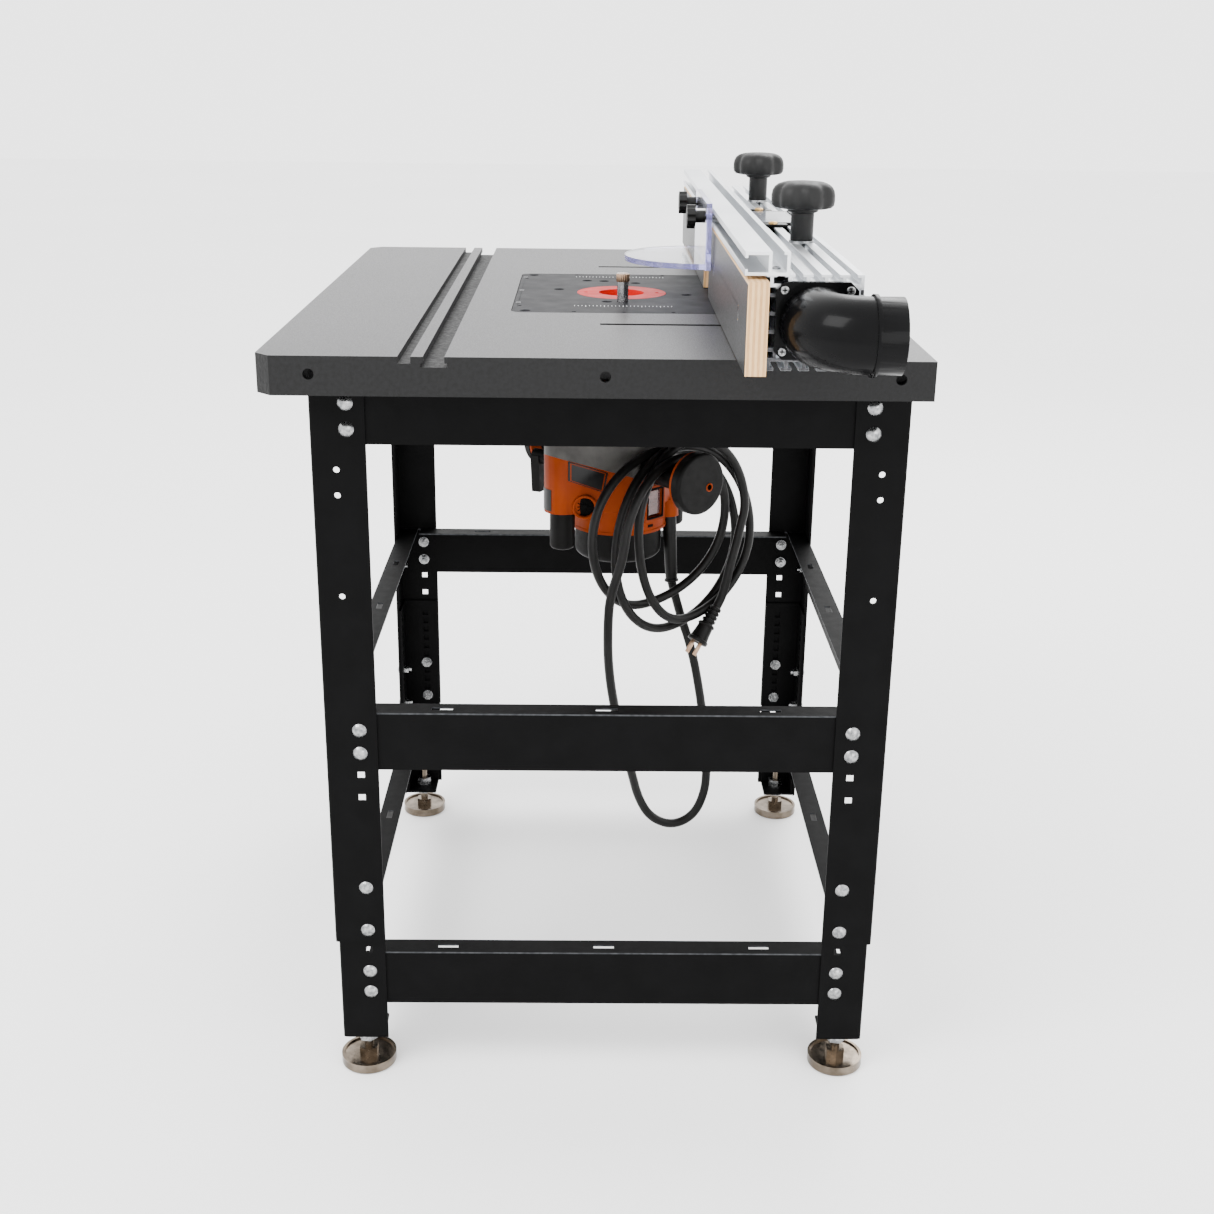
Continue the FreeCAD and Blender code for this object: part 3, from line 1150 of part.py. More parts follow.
def plunge_lever():
    """The plunge lock lever: a hub out of the motor's flank and a blade hanging from its end."""
    pivot, out, along = lever_frame()
    hub = rod(pivot, pivot + out * LEVER_REACH, LEVER_HUB_RADIUS)
    inner = pivot + out * (LEVER_REACH - LEVER_THICKNESS)
    blade = [
        inner - along * 11 + UP * 3,
        inner + along * 11 + UP * 3,
        inner + along * 7 - UP * LEVER_LENGTH,
        inner - along * 6 - UP * LEVER_LENGTH,
    ]
    return fused([hub, prism(blade, out * LEVER_THICKNESS)])


def spindle():
    """Spindle, collet nut and bore, turning together."""
    low = ROUTER_AXIS + UP * (MOTOR_BOTTOM + 8)
    shaft = rod(low, ROUTER_AXIS + UP * (COLLET_TOP - 6), SPINDLE_RADIUS)
    nut_low = COLLET_TOP - COLLET_NUT_HEIGHT - 4
    nut = hexagon(ROUTER_AXIS + UP * nut_low, UP, COLLET_NUT_FLATS, COLLET_NUT_HEIGHT)
    nose = rod(ROUTER_AXIS + UP * (COLLET_TOP - 6), ROUTER_AXIS + UP * COLLET_TOP, COLLET_NUT_FLATS / 2 - 1)
    bore = rod(ROUTER_AXIS + UP * (COLLET_TOP - 35), ROUTER_AXIS + UP * (COLLET_TOP + 1), COLLET_BORE)
    return less(fused([shaft, nut, nose]), [bore])


def power_switch():
    """The rocker of the power switch in its frame."""
    out = switch_direction()
    along = UP.cross(out)
    rocker = rod(
        ROUTER_AXIS + UP * SWITCH_Z + out * (MOTOR_RADIUS - 6) - along * (SWITCH_SIZE[0] / 2 - 1),
        ROUTER_AXIS + UP * SWITCH_Z + out * (MOTOR_RADIUS - 6) + along * (SWITCH_SIZE[0] / 2 - 1),
        5.0,
    )
    middle = ROUTER_AXIS + UP * SWITCH_Z + out * (MOTOR_RADIUS - 4)
    corners = []
    half_w = SWITCH_SIZE[0] / 2 - 1
    half_h = SWITCH_SIZE[1] / 2 - 3
    for a, b in ((-1, -1), (1, -1), (1, 1), (-1, 1)):
        corners.append(middle + along * (a * half_w) + UP * (b * half_h))
    return fused([rocker, prism(corners, out * 4.0)])


def strain_relief():
    line = RELIEF_TIP - RELIEF_TOP
    sleeve = Part.makeCone(RELIEF_RADII[0], RELIEF_RADII[1], line.Length, RELIEF_TOP, line)
    return sleeve


# ---- Cord ----
def coil_plane(t, z, reach):
    """A point in the coil's hanging plane, at a distance from the motor's axis along E1."""
    return ROUTER_AXIS + E1 * reach + E2 * t + UP * (TABLE_HEIGHT + z)


def cord_tube():
    points = [Vector(x, y, TABLE_HEIGHT + z) for x, y, z in CORD_DROP]
    return bent_tube(points, CORD_RADIUS)


def cord_coil():
    """The closed outer shape of the hanging coil, with room for the handle's neck."""
    depth = E1 * (COIL_TO - COIL_FROM)
    outer = ellipse_disc(coil_plane(*COIL_CENTRE, COIL_FROM), COIL_HALF, E2, depth)
    eye = ellipse_disc(coil_plane(*COIL_EYE_CENTRE, COIL_FROM - 1), COIL_EYE_HALF, E2, E1 * (COIL_TO - COIL_FROM + 2))
    return less(outer, [eye, handle_neck_rod(1, 0.4)])


def tail_points():
    return [coil_plane(t, z, TAIL_REACH) for t, z in CORD_TAIL]


def cord_tail():
    return bent_tube(tail_points(), CORD_RADIUS)


def plug():
    """The moulded plug: ribbed boot, body and two flat prongs."""
    points = tail_points()
    axis = (points[-1] - points[-2]).normalize()
    start = points[-1]
    boot_end = start + axis * PLUG_LENGTHS["boot"]
    body_end = boot_end + axis * PLUG_LENGTHS["body"]
    boot = Part.makeCone(PLUG_RADII["boot"] - 1.2, PLUG_RADII["boot"], PLUG_LENGTHS["boot"], start, axis)
    body = rod(boot_end, body_end, PLUG_RADII["body"])
    shapes = [boot, body]
    thick, wide, spacing = PLUG_PRONG
    side = E1.cross(axis).normalize()
    for end in (-1, 1):
        middle = body_end + E1 * (end * spacing / 2) - axis * 1
        corners = []
        for a, b in ((-1, -1), (1, -1), (1, 1), (-1, 1)):
            corners.append(middle + E1 * (a * thick / 2) + side * (b * wide / 2))
        shapes.append(prism(corners, axis * (PLUG_LENGTHS["prong"] + 1)))
    return fused(shapes)


def main():
    os.makedirs("parts", exist_ok=True)
    save("table_top", table_top())
    save("insert_plate", insert_plate())
    save("plate_screws", plate_screws())
    save("insert_ring", insert_ring())
    save("starter_pin", starter_pin())
    for name, sides in CORNERS.items():
        save("upper_leg_" + name, upper_leg(sides))
        save("lower_leg_" + name, lower_leg(sides))
        save("foot_" + name, levelling_foot(sides))
    low_inset = 2 * STEEL + LEG_GAP
    for name, top, inset, bolts in (
        ("apron", APRON_TOP, STEEL, APRON_BOLTS),
        ("mid_rail", MID_RAIL_TOP, STEEL, MID_BOLTS),
        ("low_rail", LOW_RAIL_TOP, low_inset, LOW_BOLTS),
    ):
        save(name + "s_end", [rail(False, side, top, inset, bolts) for side in (-1, 1)])
        save(name + "s_side", [rail(True, side, top, inset, bolts) for side in (-1, 1)])
    grip = STEEL + RAIL_STEEL
    frame_bolts = bolts_at(APRON_BOLTS + MID_BOLTS, STAND_HALF_X, STAND_HALF_Y, grip)
    lock_grip = 2 * STEEL + LEG_GAP
    save("upper_bolts", frame_bolts + bolts_at(LOCK_BOLTS, STAND_HALF_X, STAND_HALF_Y, lock_grip))
    lower_half = (STAND_HALF_X - STEEL - LEG_GAP, STAND_HALF_Y - STEEL - LEG_GAP)
    save("lower_fasteners", bolts_at(LOW_BOLTS, *lower_half, grip) + foot_nuts())
    save("foot_brackets", foot_brackets())
    save("fence_extrusion", fence_extrusion())
    save("top_track", top_track())
    save("fence_screws", fence_screws())
    save("dust_port", dust_port())
    save("bit_hood", bit_hood())
    save("hood_cover", hood_cover())
    save("fence_clamps", fence_clamps())
    save("guard", guard())
    save("guard_bolts", guard_bolts())
    for name, side in (("right", 1), ("left", -1)):
        save("fence_knob_" + name, fence_knob(side))
        save("board_" + name, board(side))
        save("board_bolts_" + name, board_bolts(side))
        save("guard_knob_" + name, guard_knob(side))
    save("router_base", router_base())
    save("plunge_columns", plunge_columns())
    save("motor_casting", motor_casting())
    save("motor_housing", motor_housing())
    save("motor_end_cap", motor_end_cap())
    save("column_caps", column_caps())
    save("handle_necks", handle_necks())
    save("handle_knob_right", handle_knob(1))
    save("handle_knob_left", handle_knob(-1))
    save("plunge_lever", plunge_lever())
    save("spindle", spindle())
    save("power_switch", power_switch())
    save("strain_relief", strain_relief())
    save("cord_tube", cord_tube())
    save("cord_coil", cord_coil())
    save("cord_tail", cord_tail())
    save("plug", plug())


main()
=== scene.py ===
import itertools
import json
import math

import bmesh
import bpy
from mathutils import Matrix, Vector


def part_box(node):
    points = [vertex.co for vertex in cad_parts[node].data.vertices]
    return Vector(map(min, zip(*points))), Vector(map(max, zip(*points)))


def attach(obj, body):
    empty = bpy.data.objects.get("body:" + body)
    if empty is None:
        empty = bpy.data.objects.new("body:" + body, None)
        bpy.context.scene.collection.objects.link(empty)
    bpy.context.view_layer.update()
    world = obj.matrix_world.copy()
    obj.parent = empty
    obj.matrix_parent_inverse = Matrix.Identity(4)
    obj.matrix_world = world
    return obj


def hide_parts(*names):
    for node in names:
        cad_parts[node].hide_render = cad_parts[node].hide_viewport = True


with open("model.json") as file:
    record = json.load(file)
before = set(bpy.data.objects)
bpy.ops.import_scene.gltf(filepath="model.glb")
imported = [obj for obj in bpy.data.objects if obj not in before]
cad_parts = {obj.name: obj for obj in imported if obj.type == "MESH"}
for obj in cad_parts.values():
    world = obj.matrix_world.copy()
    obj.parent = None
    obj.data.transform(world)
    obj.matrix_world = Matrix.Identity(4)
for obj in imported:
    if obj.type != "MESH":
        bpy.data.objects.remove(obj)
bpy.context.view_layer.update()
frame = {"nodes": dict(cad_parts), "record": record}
NODES = frame["nodes"]

# Anchors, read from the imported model.
TABLE_LOW, TABLE_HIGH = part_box("table_top")
RING_LOW, RING_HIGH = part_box("insert_ring")
MIDDLE = Vector(((TABLE_LOW.x + TABLE_HIGH.x) / 2, 0.0, TABLE_HIGH.z))
AXIS = Vector(((RING_LOW.x + RING_HIGH.x) / 2, (RING_LOW.y + RING_HIGH.y) / 2, TABLE_HIGH.z))
# A millimetre in metres, and the frame's directions.
MM = 0.001
ALONG = Vector((1, 0, 0))
DEEP = Vector((0, 1, 0))
UP = Vector((0, 0, 1))
# Level unit vectors from the motor's axis to the right handle, and square to that.
HANDLE_ANGLE = math.radians(39.0)
HANDLE_OUT = Vector((math.cos(HANDLE_ANGLE), math.sin(HANDLE_ANGLE), 0))
HANDLE_SIDE = Vector((-math.sin(HANDLE_ANGLE), math.cos(HANDLE_ANGLE), 0))


def at(x, y, z):
    """A point in millimetres from the middle of the table's top, in the frame's metres."""
    return MIDDLE + Vector((x, y, z)) * MM


def coil(across, z, reach):
    """A point among the cord's turns: out along the right handle, across it, and up from the top."""
    return AXIS + (HANDLE_OUT * reach + HANDLE_SIDE * across + UP * z) * MM


# ---- Camera, floor and light ----
CAMERA_PLACE = (1807.96, -4.99, 260.68)
CAMERA_YAW = math.radians(0.73)
CAMERA_PITCH = math.radians(19.44)
CAMERA_ROLL = math.radians(0.71)
CAMERA_LENS = 46.99
CAMERA_SENSOR = 36.0
CAMERA_CLIP = (0.05, 60.0)
FLOOR_REACH = 14.0
FLOOR_DROP = 0.0005
FLOOR_TONES = ((0.93, 0.93, 0.93), (0.95, 0.95, 0.95))
WORLD_STRENGTH = 3.2
LIGHT_TARGET = Vector((0, 0, 0.6))
# Name, place, width and height, power in watts.
LIGHTS = (
    ("key", (1.6, -1.9, 2.9), (1.6, 1.6), 90),
    ("fill", (2.8, 1.6, 1.3), (1.8, 1.4), 30),
    ("rim", (-2.2, 1.2, 2.6), (1.6, 1.6), 50),
)


def make_camera():
    data = bpy.data.cameras.new("camera")
    data.sensor_width = CAMERA_SENSOR
    data.lens = CAMERA_LENS
    data.clip_start, data.clip_end = CAMERA_CLIP
    camera = bpy.data.objects.new("camera", data)
    bpy.context.scene.collection.objects.link(camera)
    yaw_cos, yaw_sin = math.cos(CAMERA_YAW), math.sin(CAMERA_YAW)
    pitch_cos, pitch_sin = math.cos(CAMERA_PITCH), math.sin(CAMERA_PITCH)
    roll_cos, roll_sin = math.cos(CAMERA_ROLL), math.sin(CAMERA_ROLL)
    forward = Vector((-yaw_cos * pitch_cos, yaw_sin * pitch_cos, -pitch_sin))
    right = Vector((yaw_sin, yaw_cos, 0))
    above = right.cross(forward)
    rolled_right = right * roll_cos + above * roll_sin
    rolled_up = above * roll_cos - right * roll_sin
    turn = Matrix((rolled_right, rolled_up, -forward)).transposed().to_4x4()
    camera.matrix_world = Matrix.Translation(at(*CAMERA_PLACE)) @ turn
    bpy.context.scene.camera = camera


def area_light(name, place, size, power):
    data = bpy.data.lights.new(name, "AREA")
    data.shape = "RECTANGLE"
    data.size, data.size_y = size
    data.energy = power
    lamp = bpy.data.objects.new(name, data)
    lamp.location = place
    lamp.rotation_mode = "QUATERNION"
    lamp.rotation_quaternion = (LIGHT_TARGET - Vector(place)).to_track_quat("-Z", "Y")
    bpy.context.scene.collection.objects.link(lamp)


def make_stage():
    mesh = bpy.data.meshes.new("floor")
    signs = ((-1, -1), (1, -1), (1, 1), (-1, 1))
    corners = [(FLOOR_REACH * x, FLOOR_REACH * y, -FLOOR_DROP) for x, y in signs]
    mesh.from_pydata(corners, [], [(0, 1, 2, 3)])
    floor = bpy.data.objects.new("floor", mesh)
    bpy.context.scene.collection.objects.link(floor)
    look = Look("pale_floor")
    look.paint(*FLOOR_TONES, 0.7)
    look.roughness(0.75, 0.85, 3.0)
    mesh.materials.append(look.material)
    world = bpy.data.worlds.new("studio")
    world.use_nodes = True
    background = world.node_tree.nodes["Background"]
    background.inputs["Color"].default_value = (1, 1, 1, 1)
    background.inputs["Strength"].default_value = WORLD_STRENGTH
    bpy.context.scene.world = world
    for light in LIGHTS:
        area_light(*light)


# ---- Procedural materials ----
# Sockets of a Mix node: a number uses other ones than a colour.
COLOUR_SLOTS, COLOUR_RESULT = (6, 7), 2
NUMBER_SLOTS, NUMBER_RESULT = (2, 3), 0
# Heights of the cross rails' upper edges, in millimetres below the table's top.
RAIL_TOPS = (-378.0, -658.0)
# The painted highlight band on a rail's upper bend, as depths in metres below that edge.
BEND_HIGHLIGHT_BAND = (0.00005, 0.0018)
TOP_SKIN = 0.002
GUARD_SPLIT = MIDDLE.z + 0.0435
# Height below which the extrusion's end faces are painted dark as shade.
END_SHADE_BELOW = MIDDLE.z + 0.070
PLY_PAIR = 0.0046
PLY_WOBBLE = 0.0012


class Look:
    """One procedural material, built node by node in the object's own coordinates."""

    def __init__(self, name, metallic=0.0, stretch=(1, 1, 1)):
        self.material = bpy.data.materials.new(name)
        self.material.use_nodes = True
        self.tree = self.material.node_tree
        self.shader = self.tree.nodes["Principled BSDF"]
        self.shader.inputs["Metallic"].default_value = metallic
        self.coords = self.node("ShaderNodeTexCoord")
        self.mapping = self.node("ShaderNodeMapping")
        self.mapping.inputs["Scale"].default_value = stretch
        self.place = self.coords.outputs["Object"]
        self.link(self.place, self.mapping.inputs["Vector"])

    def node(self, kind, **settings):
        made = self.tree.nodes.new(kind)
        for key, value in settings.items():
            setattr(made, key, value)
        return made

    def link(self, source, target):
        self.tree.links.new(source, target)

    def noise(self, scale, detail=4.0, vector=None):
        made = self.node("ShaderNodeTexNoise")
        made.inputs["Scale"].default_value = scale
        made.inputs["Detail"].default_value = detail
        self.link(vector or self.mapping.outputs["Vector"], made.inputs["Vector"])
        return made.outputs["Fac"]

    def ramp(self, factor, stops):
        """Two stops of (place, colour)."""
        made = self.node("ShaderNodeValToRGB")
        for element, (place, colour) in zip(made.color_ramp.elements, stops):
            element.position = place
            element.color = (*colour, 1)
        self.link(factor, made.inputs["Fac"])
        return made.outputs["Color"]

    def span(self, factor, low, high, start=0.3, end=0.7):
        made = self.node("ShaderNodeMapRange")
        made.inputs["From Min"].default_value = start
        made.inputs["From Max"].default_value = end
        made.inputs["To Min"].default_value = low
        made.inputs["To Max"].default_value = high
        self.link(factor, made.inputs["Value"])
        return made.outputs["Result"]

    def feed(self, source, socket):
        """Link an output into a socket, or set a colour or number on it."""
        if isinstance(source, tuple):
            socket.default_value = (*source, 1)
        elif isinstance(source, (int, float)):
            socket.default_value = source
        else:
            self.link(source, socket)

    def mix(self, factor, first, second):
        """A colour mixed between two outputs or colours."""
        made = self.node("ShaderNodeMix", data_type="RGBA")
        self.link(factor, made.inputs["Factor"])
        for source, slot in zip((first, second), COLOUR_SLOTS):
            self.feed(source, made.inputs[slot])
        return made.outputs[COLOUR_RESULT]

    def blend(self, factor, first, second):
        """A number mixed between two outputs or numbers."""
        made = self.node("ShaderNodeMix", data_type="FLOAT")
        self.link(factor, made.inputs["Factor"])
        for source, slot in zip((first, second), NUMBER_SLOTS):
            self.feed(source, made.inputs[slot])
        return made.outputs[NUMBER_RESULT]

    def math(self, operation, *sources):
        made = self.node("ShaderNodeMath", operation=operation)
        for slot, source in enumerate(sources):
            self.feed(source, made.inputs[slot])
        return made.outputs["Value"]

    def part(self, vector, axis):
        made = self.node("ShaderNodeSeparateXYZ")
        self.link(vector, made.inputs["Vector"])
        return made.outputs[axis]

    def facing(self, axis, least):
        """1 where the surface faces along plus or minus an axis of the object."""
        along = self.math("ABSOLUTE", self.part(self.coords.outputs["Normal"], axis))
        return self.math("GREATER_THAN", along, least)

    def paint(self, dark, light, scale):
        colour = self.ramp(self.noise(scale, 5.0), [(0.35, dark), (0.65, light)])
        self.link(colour, self.shader.inputs["Base Color"])

    def roughness(self, low, high, scale):
        value = self.span(self.noise(scale, 3.0), low, high)
        self.link(value, self.shader.inputs["Roughness"])

    def bump(self, height, distance):
        made = self.node("ShaderNodeBump")
        made.inputs["Strength"].default_value = 1.0
        made.inputs["Distance"].default_value = distance
        self.link(height, made.inputs["Height"])
        self.link(made.outputs["Normal"], self.shader.inputs["Normal"])

    def set(self, **values):
        for name, value in values.items():
            self.shader.inputs[name.replace("_", " ")].default_value = value
        return self


def plain(name, dark, light, scale, rough, relief, metallic=0.0):
    """Two close tones, uneven gloss and a fine relief of (scale, depth)."""
    look = Look(name, metallic)
    look.paint(dark, light, scale)
    look.roughness(*rough, scale * 3)
    look.bump(look.noise(relief[0], 3.0), relief[1])
    return look


def iron_look():
    """Ground iron: fine grinding marks on the flat top, black cast skin on every other face."""
    look = Look("ground_iron", 0.0, (6, 120, 6))
    level = look.math("GREATER_THAN", look.part(look.place, "Z"), MIDDLE.z - TOP_SKIN)
    top = look.math("MULTIPLY", look.facing("Z", 0.9), level)
    wide = look.noise(5.0, 6.0, look.place)
    ground = look.ramp(wide, [(0.3, (0.034, 0.034, 0.0355)), (0.7, (0.044, 0.0435, 0.046))])
    grain = look.noise(30.0, 8.0)
    streaked = look.mix(look.span(grain, 0.0, 0.25), ground, (0.064, 0.063, 0.066))
    skin = look.noise(260.0, 3.0, look.place)
    rough_skin = look.ramp(skin, [(0.35, (0.002, 0.002, 0.002)), (0.7, (0.007, 0.007, 0.0074))])
    look.link(look.mix(top, rough_skin, streaked), look.shader.inputs["Base Color"])
    look.link(look.blend(top, 0.05, 0.72), look.shader.inputs["Metallic"])
    look.link(look.blend(top, look.span(skin, 0.5, 0.7), look.span(grain, 0.33, 0.48)),
              look.shader.inputs["Roughness"])
    height = look.blend(top, look.math("MULTIPLY", skin, 10.0), look.math("MULTIPLY", grain, 0.35))
    look.bump(height, 0.00006)
    look.set(Specular_IOR_Level=0.2)
    return look.material


def board_look():
    """Plywood faced with black laminate: thin plies show on the cut edges."""
    look = Look("laminate_ply")
    face = look.facing("Y", 0.8)
    across = look.part(look.place, "Y")
    wobble = look.math("MULTIPLY", look.noise(18.0, 2.0), PLY_WOBBLE)
    ply = look.math("MULTIPLY", look.math("ADD", across, wobble), 2 * math.pi / PLY_PAIR)
    wave = look.span(look.math("SINE", ply), 0.0, 1.0, -0.35, 0.35)
    fibre = look.node("ShaderNodeMapping")
    fibre.inputs["Scale"].default_value = (90, 500, 22)
    look.link(look.place, fibre.inputs["Vector"])
    fine = look.noise(6.0, 6.0, fibre.outputs["Vector"])
    pale = look.ramp(fine, [(0.3, (0.58, 0.34, 0.14)), (0.7, (0.72, 0.47, 0.23))])
    brown = look.ramp(fine, [(0.3, (0.42, 0.22, 0.08)), (0.7, (0.56, 0.33, 0.14))])
    wood = look.mix(wave, brown, pale)
    speck = look.noise(700.0, 2.0)
    black = look.ramp(speck, [(0.4, (0.006, 0.006, 0.0064)), (0.7, (0.012, 0.012, 0.0125))])
    look.link(look.mix(face, wood, black), look.shader.inputs["Base Color"])
    look.link(look.blend(face, 0.72, look.span(speck, 0.38, 0.5)), look.shader.inputs["Roughness"])
    height = look.blend(face, fine, look.math("MULTIPLY", speck, 0.25))
    look.bump(height, 0.00012)
    return look.material


def clear_look():
    """Clear acrylic: the broad faces stay clear, the narrow sawn edges gather a violet tint."""
    look = Look("clear_sheet")
    haze = look.noise(40.0, 3.0)
    tint = look.ramp(haze, [(0.3, (0.9, 0.91, 0.99)), (0.7, (0.95, 0.955, 1.0))])
    violet = look.ramp(look.noise(90.0, 3.0), [(0.3, (0.3, 0.29, 0.72)), (0.7, (0.6, 0.58, 0.93))])
    high = look.math("GREATER_THAN", look.part(look.place, "Z"), GUARD_SPLIT)
    broad = look.blend(high, look.facing("Z", 0.7), look.facing("Y", 0.7))
    look.link(look.mix(broad, violet, tint), look.shader.inputs["Base Color"])
    look.link(look.blend(broad, 0.75, 0.98), look.shader.inputs["Transmission Weight"])
    look.roughness(0.02, 0.06, 60.0)
    look.set(IOR=1.2)
    return look.material


def lid_look():
    """The hood's clear lid, seen over a dark chamber."""
    look = plain("clear_lid", (0.62, 0.66, 0.72), (0.74, 0.77, 0.83), 50.0,
                 (0.08, 0.16), (200.0, 0.00003))
    look.set(Transmission_Weight=0.85, IOR=1.3)
    return look.material


def extrusion_look():
    """Clear-anodised aluminium drawn along X: faint die lines, and painted shade on the sawn ends low down.
    """
    look = Look("fence_aluminium", 1.0, (0.6, 90, 90))
    lines = look.noise(14.0, 6.0)
    patch = look.noise(7.0, 3.0, look.place)
    tone = look.ramp(patch, [(0.3, (0.62, 0.64, 0.67)), (0.7, (0.76, 0.78, 0.8))])
    drawn = look.mix(look.span(lines, 0.0, 0.3), tone, (0.9, 0.91, 0.92))
    # Painted shade: end faces low on the extrusion, where the plate and elbow shade them, are painted near
    # black.
    sawn = look.ramp(look.noise(240.0, 3.0, look.place),
                     [(0.3, (0.03, 0.03, 0.032)), (0.7, (0.09, 0.09, 0.094))])
    low = look.math("LESS_THAN", look.part(look.place, "Z"), END_SHADE_BELOW)
    shaded = look.math("MULTIPLY", look.facing("X", 0.8), low)
    look.link(look.mix(shaded, drawn, sawn), look.shader.inputs["Base Color"])
    look.link(look.span(lines, 0.28, 0.46), look.shader.inputs["Roughness"])
    look.bump(lines, 0.00003)
    return look.material


def cord_look():
    """Black rubber with a faint waxy coat."""
    look = plain("cord_rubber", (0.0012, 0.0011, 0.001), (0.0034, 0.003, 0.0027), 60.0,
                 (0.36, 0.5), (900.0, 0.00008))
    look.set(Specular_IOR_Level=0.15, Coat_Weight=0.03, Coat_Roughness=0.3)
    return look.material


def steel_look(name, highlight_tops=()):
    """Black powder coat; on the rails a painted highlight runs lighter along the upper bend of the sheet."""
    look = Look(name)
    coat = look.ramp(look.noise(30.0, 5.0),
                     [(0.35, (0.0008, 0.0008, 0.00085)), (0.65, (0.0014, 0.0014, 0.0015))])
    height = look.part(look.place, "Z")
    for top in highlight_tops:
        edge = MIDDLE.z + top * MM
        # Painted highlight: a lighter band just below each rail's upper edge, where light catches the
        # rounded bend.
        bend_highlight = look.ramp(look.noise(160.0, 4.0),
                         [(0.35, (0.022, 0.023, 0.025)), (0.65, (0.045, 0.047, 0.05))])
        above = look.math("GREATER_THAN", height, edge - BEND_HIGHLIGHT_BAND[1])
        below = look.math("LESS_THAN", height, edge - BEND_HIGHLIGHT_BAND[0])
        coat = look.mix(look.math("MULTIPLY", above, below), coat, bend_highlight)
    look.link(coat, look.shader.inputs["Base Color"])
    look.roughness(0.5, 0.56, 90.0)
    look.bump(look.noise(1400.0, 3.0), 0.00004)
    look.set(Specular_IOR_Level=0.05)
    return look.material


# Name, dark tone, light tone, scale of the patches, then range of roughness, relief as (scale,
# depth), metallic and specular level.
PLAIN_LOOKS = (
    ("anodised_plate", (0.012, 0.012, 0.0135), (0.016, 0.016, 0.018), 14.0,
     (0.5, 0.58), (1500.0, 0.00002), 0.0, 0.06),
    ("red_ring", (0.34, 0.0009, 0.0006), (0.4, 0.0014, 0.0009), 25.0,
     (0.4, 0.5), (900.0, 0.00002), 0.0, 0.06),
    ("zinc_steel", (0.14, 0.145, 0.15), (0.34, 0.34, 0.34), 260.0,
     (0.18, 0.34), (600.0, 0.00012), 1.0, 0.5),
    ("polished_steel", (0.5, 0.5, 0.51), (0.7, 0.7, 0.71), 90.0,
     (0.12, 0.24), (800.0, 0.00002), 1.0, 0.5),
    ("foot_nickel", (0.1, 0.08, 0.06), (0.2, 0.165, 0.13), 60.0,
     (0.16, 0.28), (500.0, 0.00004), 1.0, 0.5),
    ("gloss_black", (0.0008, 0.0008, 0.001), (0.0018, 0.0018, 0.002), 20.0,
     (0.2, 0.3), (420.0, 0.00005), 0.0, 0.05),
    ("knob_black", (0.0022, 0.0022, 0.0022), (0.0055, 0.0055, 0.0055), 50.0,
     (0.44, 0.58), (1100.0, 0.00014), 0.0, 0.22),
    ("router_black", (0.0012, 0.0011, 0.001), (0.0028, 0.0026, 0.0024), 40.0,
     (0.42, 0.58), (1300.0, 0.0001), 0.0, 0.09),
    ("router_grey", (0.03, 0.028, 0.026), (0.055, 0.052, 0.048), 35.0,
     (0.42, 0.55), (500.0, 0.0001), 0.2, 0.25),
    ("router_orange", (0.17, 0.02, 0.0004), (0.22, 0.03, 0.0007), 22.0,
     (0.38, 0.5), (1200.0, 0.00006), 0.0, 0.08),
    ("brass", (0.4, 0.24, 0.08), (0.56, 0.36, 0.15), 200.0,
     (0.2, 0.34), (900.0, 0.00003), 1.0, 0.5),
    ("plug_brass", (0.24, 0.15, 0.1), (0.4, 0.27, 0.18), 160.0,
     (0.25, 0.4), (900.0, 0.00003), 1.0, 0.5),
    ("scale_print", (0.6, 0.6, 0.61), (0.75, 0.75, 0.76), 300.0,
     (0.5, 0.65), (900.0, 0.00002), 0.0, 0.2),
    # dark_recess is near black; on the drum slots, the end cap's vents and the screw crosses it is painted
    # shade.
    ("dark_recess", (0.0008, 0.0008, 0.0008), (0.0022, 0.0022, 0.0022), 80.0,
     (0.6, 0.75), (900.0, 0.00004), 0.0, 0.05),
    ("label_face", (0.0016, 0.0016, 0.0016), (0.0034, 0.0034, 0.0034), 120.0,
     (0.28, 0.4), (1500.0, 0.00002), 0.0, 0.2),
    ("smoke_clear", (0.2, 0.1, 0.095), (0.3, 0.16, 0.15), 60.0,
     (0.12, 0.22), (300.0, 0.00004), 0.0, 0.4),
)


def make_looks():
    looks = {
        "ground_iron": iron_look(),
        "laminate_ply": board_look(),
        "clear_sheet": clear_look(),
        "clear_lid": lid_look(),
        "fence_aluminium": extrusion_look(),
        "cord_rubber": cord_look(),
        "black_steel": steel_look("black_steel"),
        "rail_steel": steel_look("rail_steel", RAIL_TOPS),
    }
    for *row, specular in PLAIN_LOOKS:
        looks[row[0]] = plain(*row).set(Specular_IOR_Level=specular).material
    gloss = looks["gloss_black"].node_tree.nodes["Principled BSDF"]
    gloss.inputs["Coat Weight"].default_value = 0.05
    gloss.inputs["Coat Roughness"].default_value = 0.08
    smoke = looks["smoke_clear"].node_tree.nodes["Principled BSDF"]
    smoke.inputs["Transmission Weight"].default_value = 0.6
    return looks


LOOKS = make_looks()


# ---- Mesh helpers ----
SMOOTH_BELOW = math.radians(35.0)
# A box's faces, by the order in which its corners are made.
BOX_FACES = ((0, 1, 3, 2), (4, 6, 7, 5), (0, 4, 5, 1), (2, 3, 7, 6), (0, 2, 6, 4), (1, 5, 7, 3))


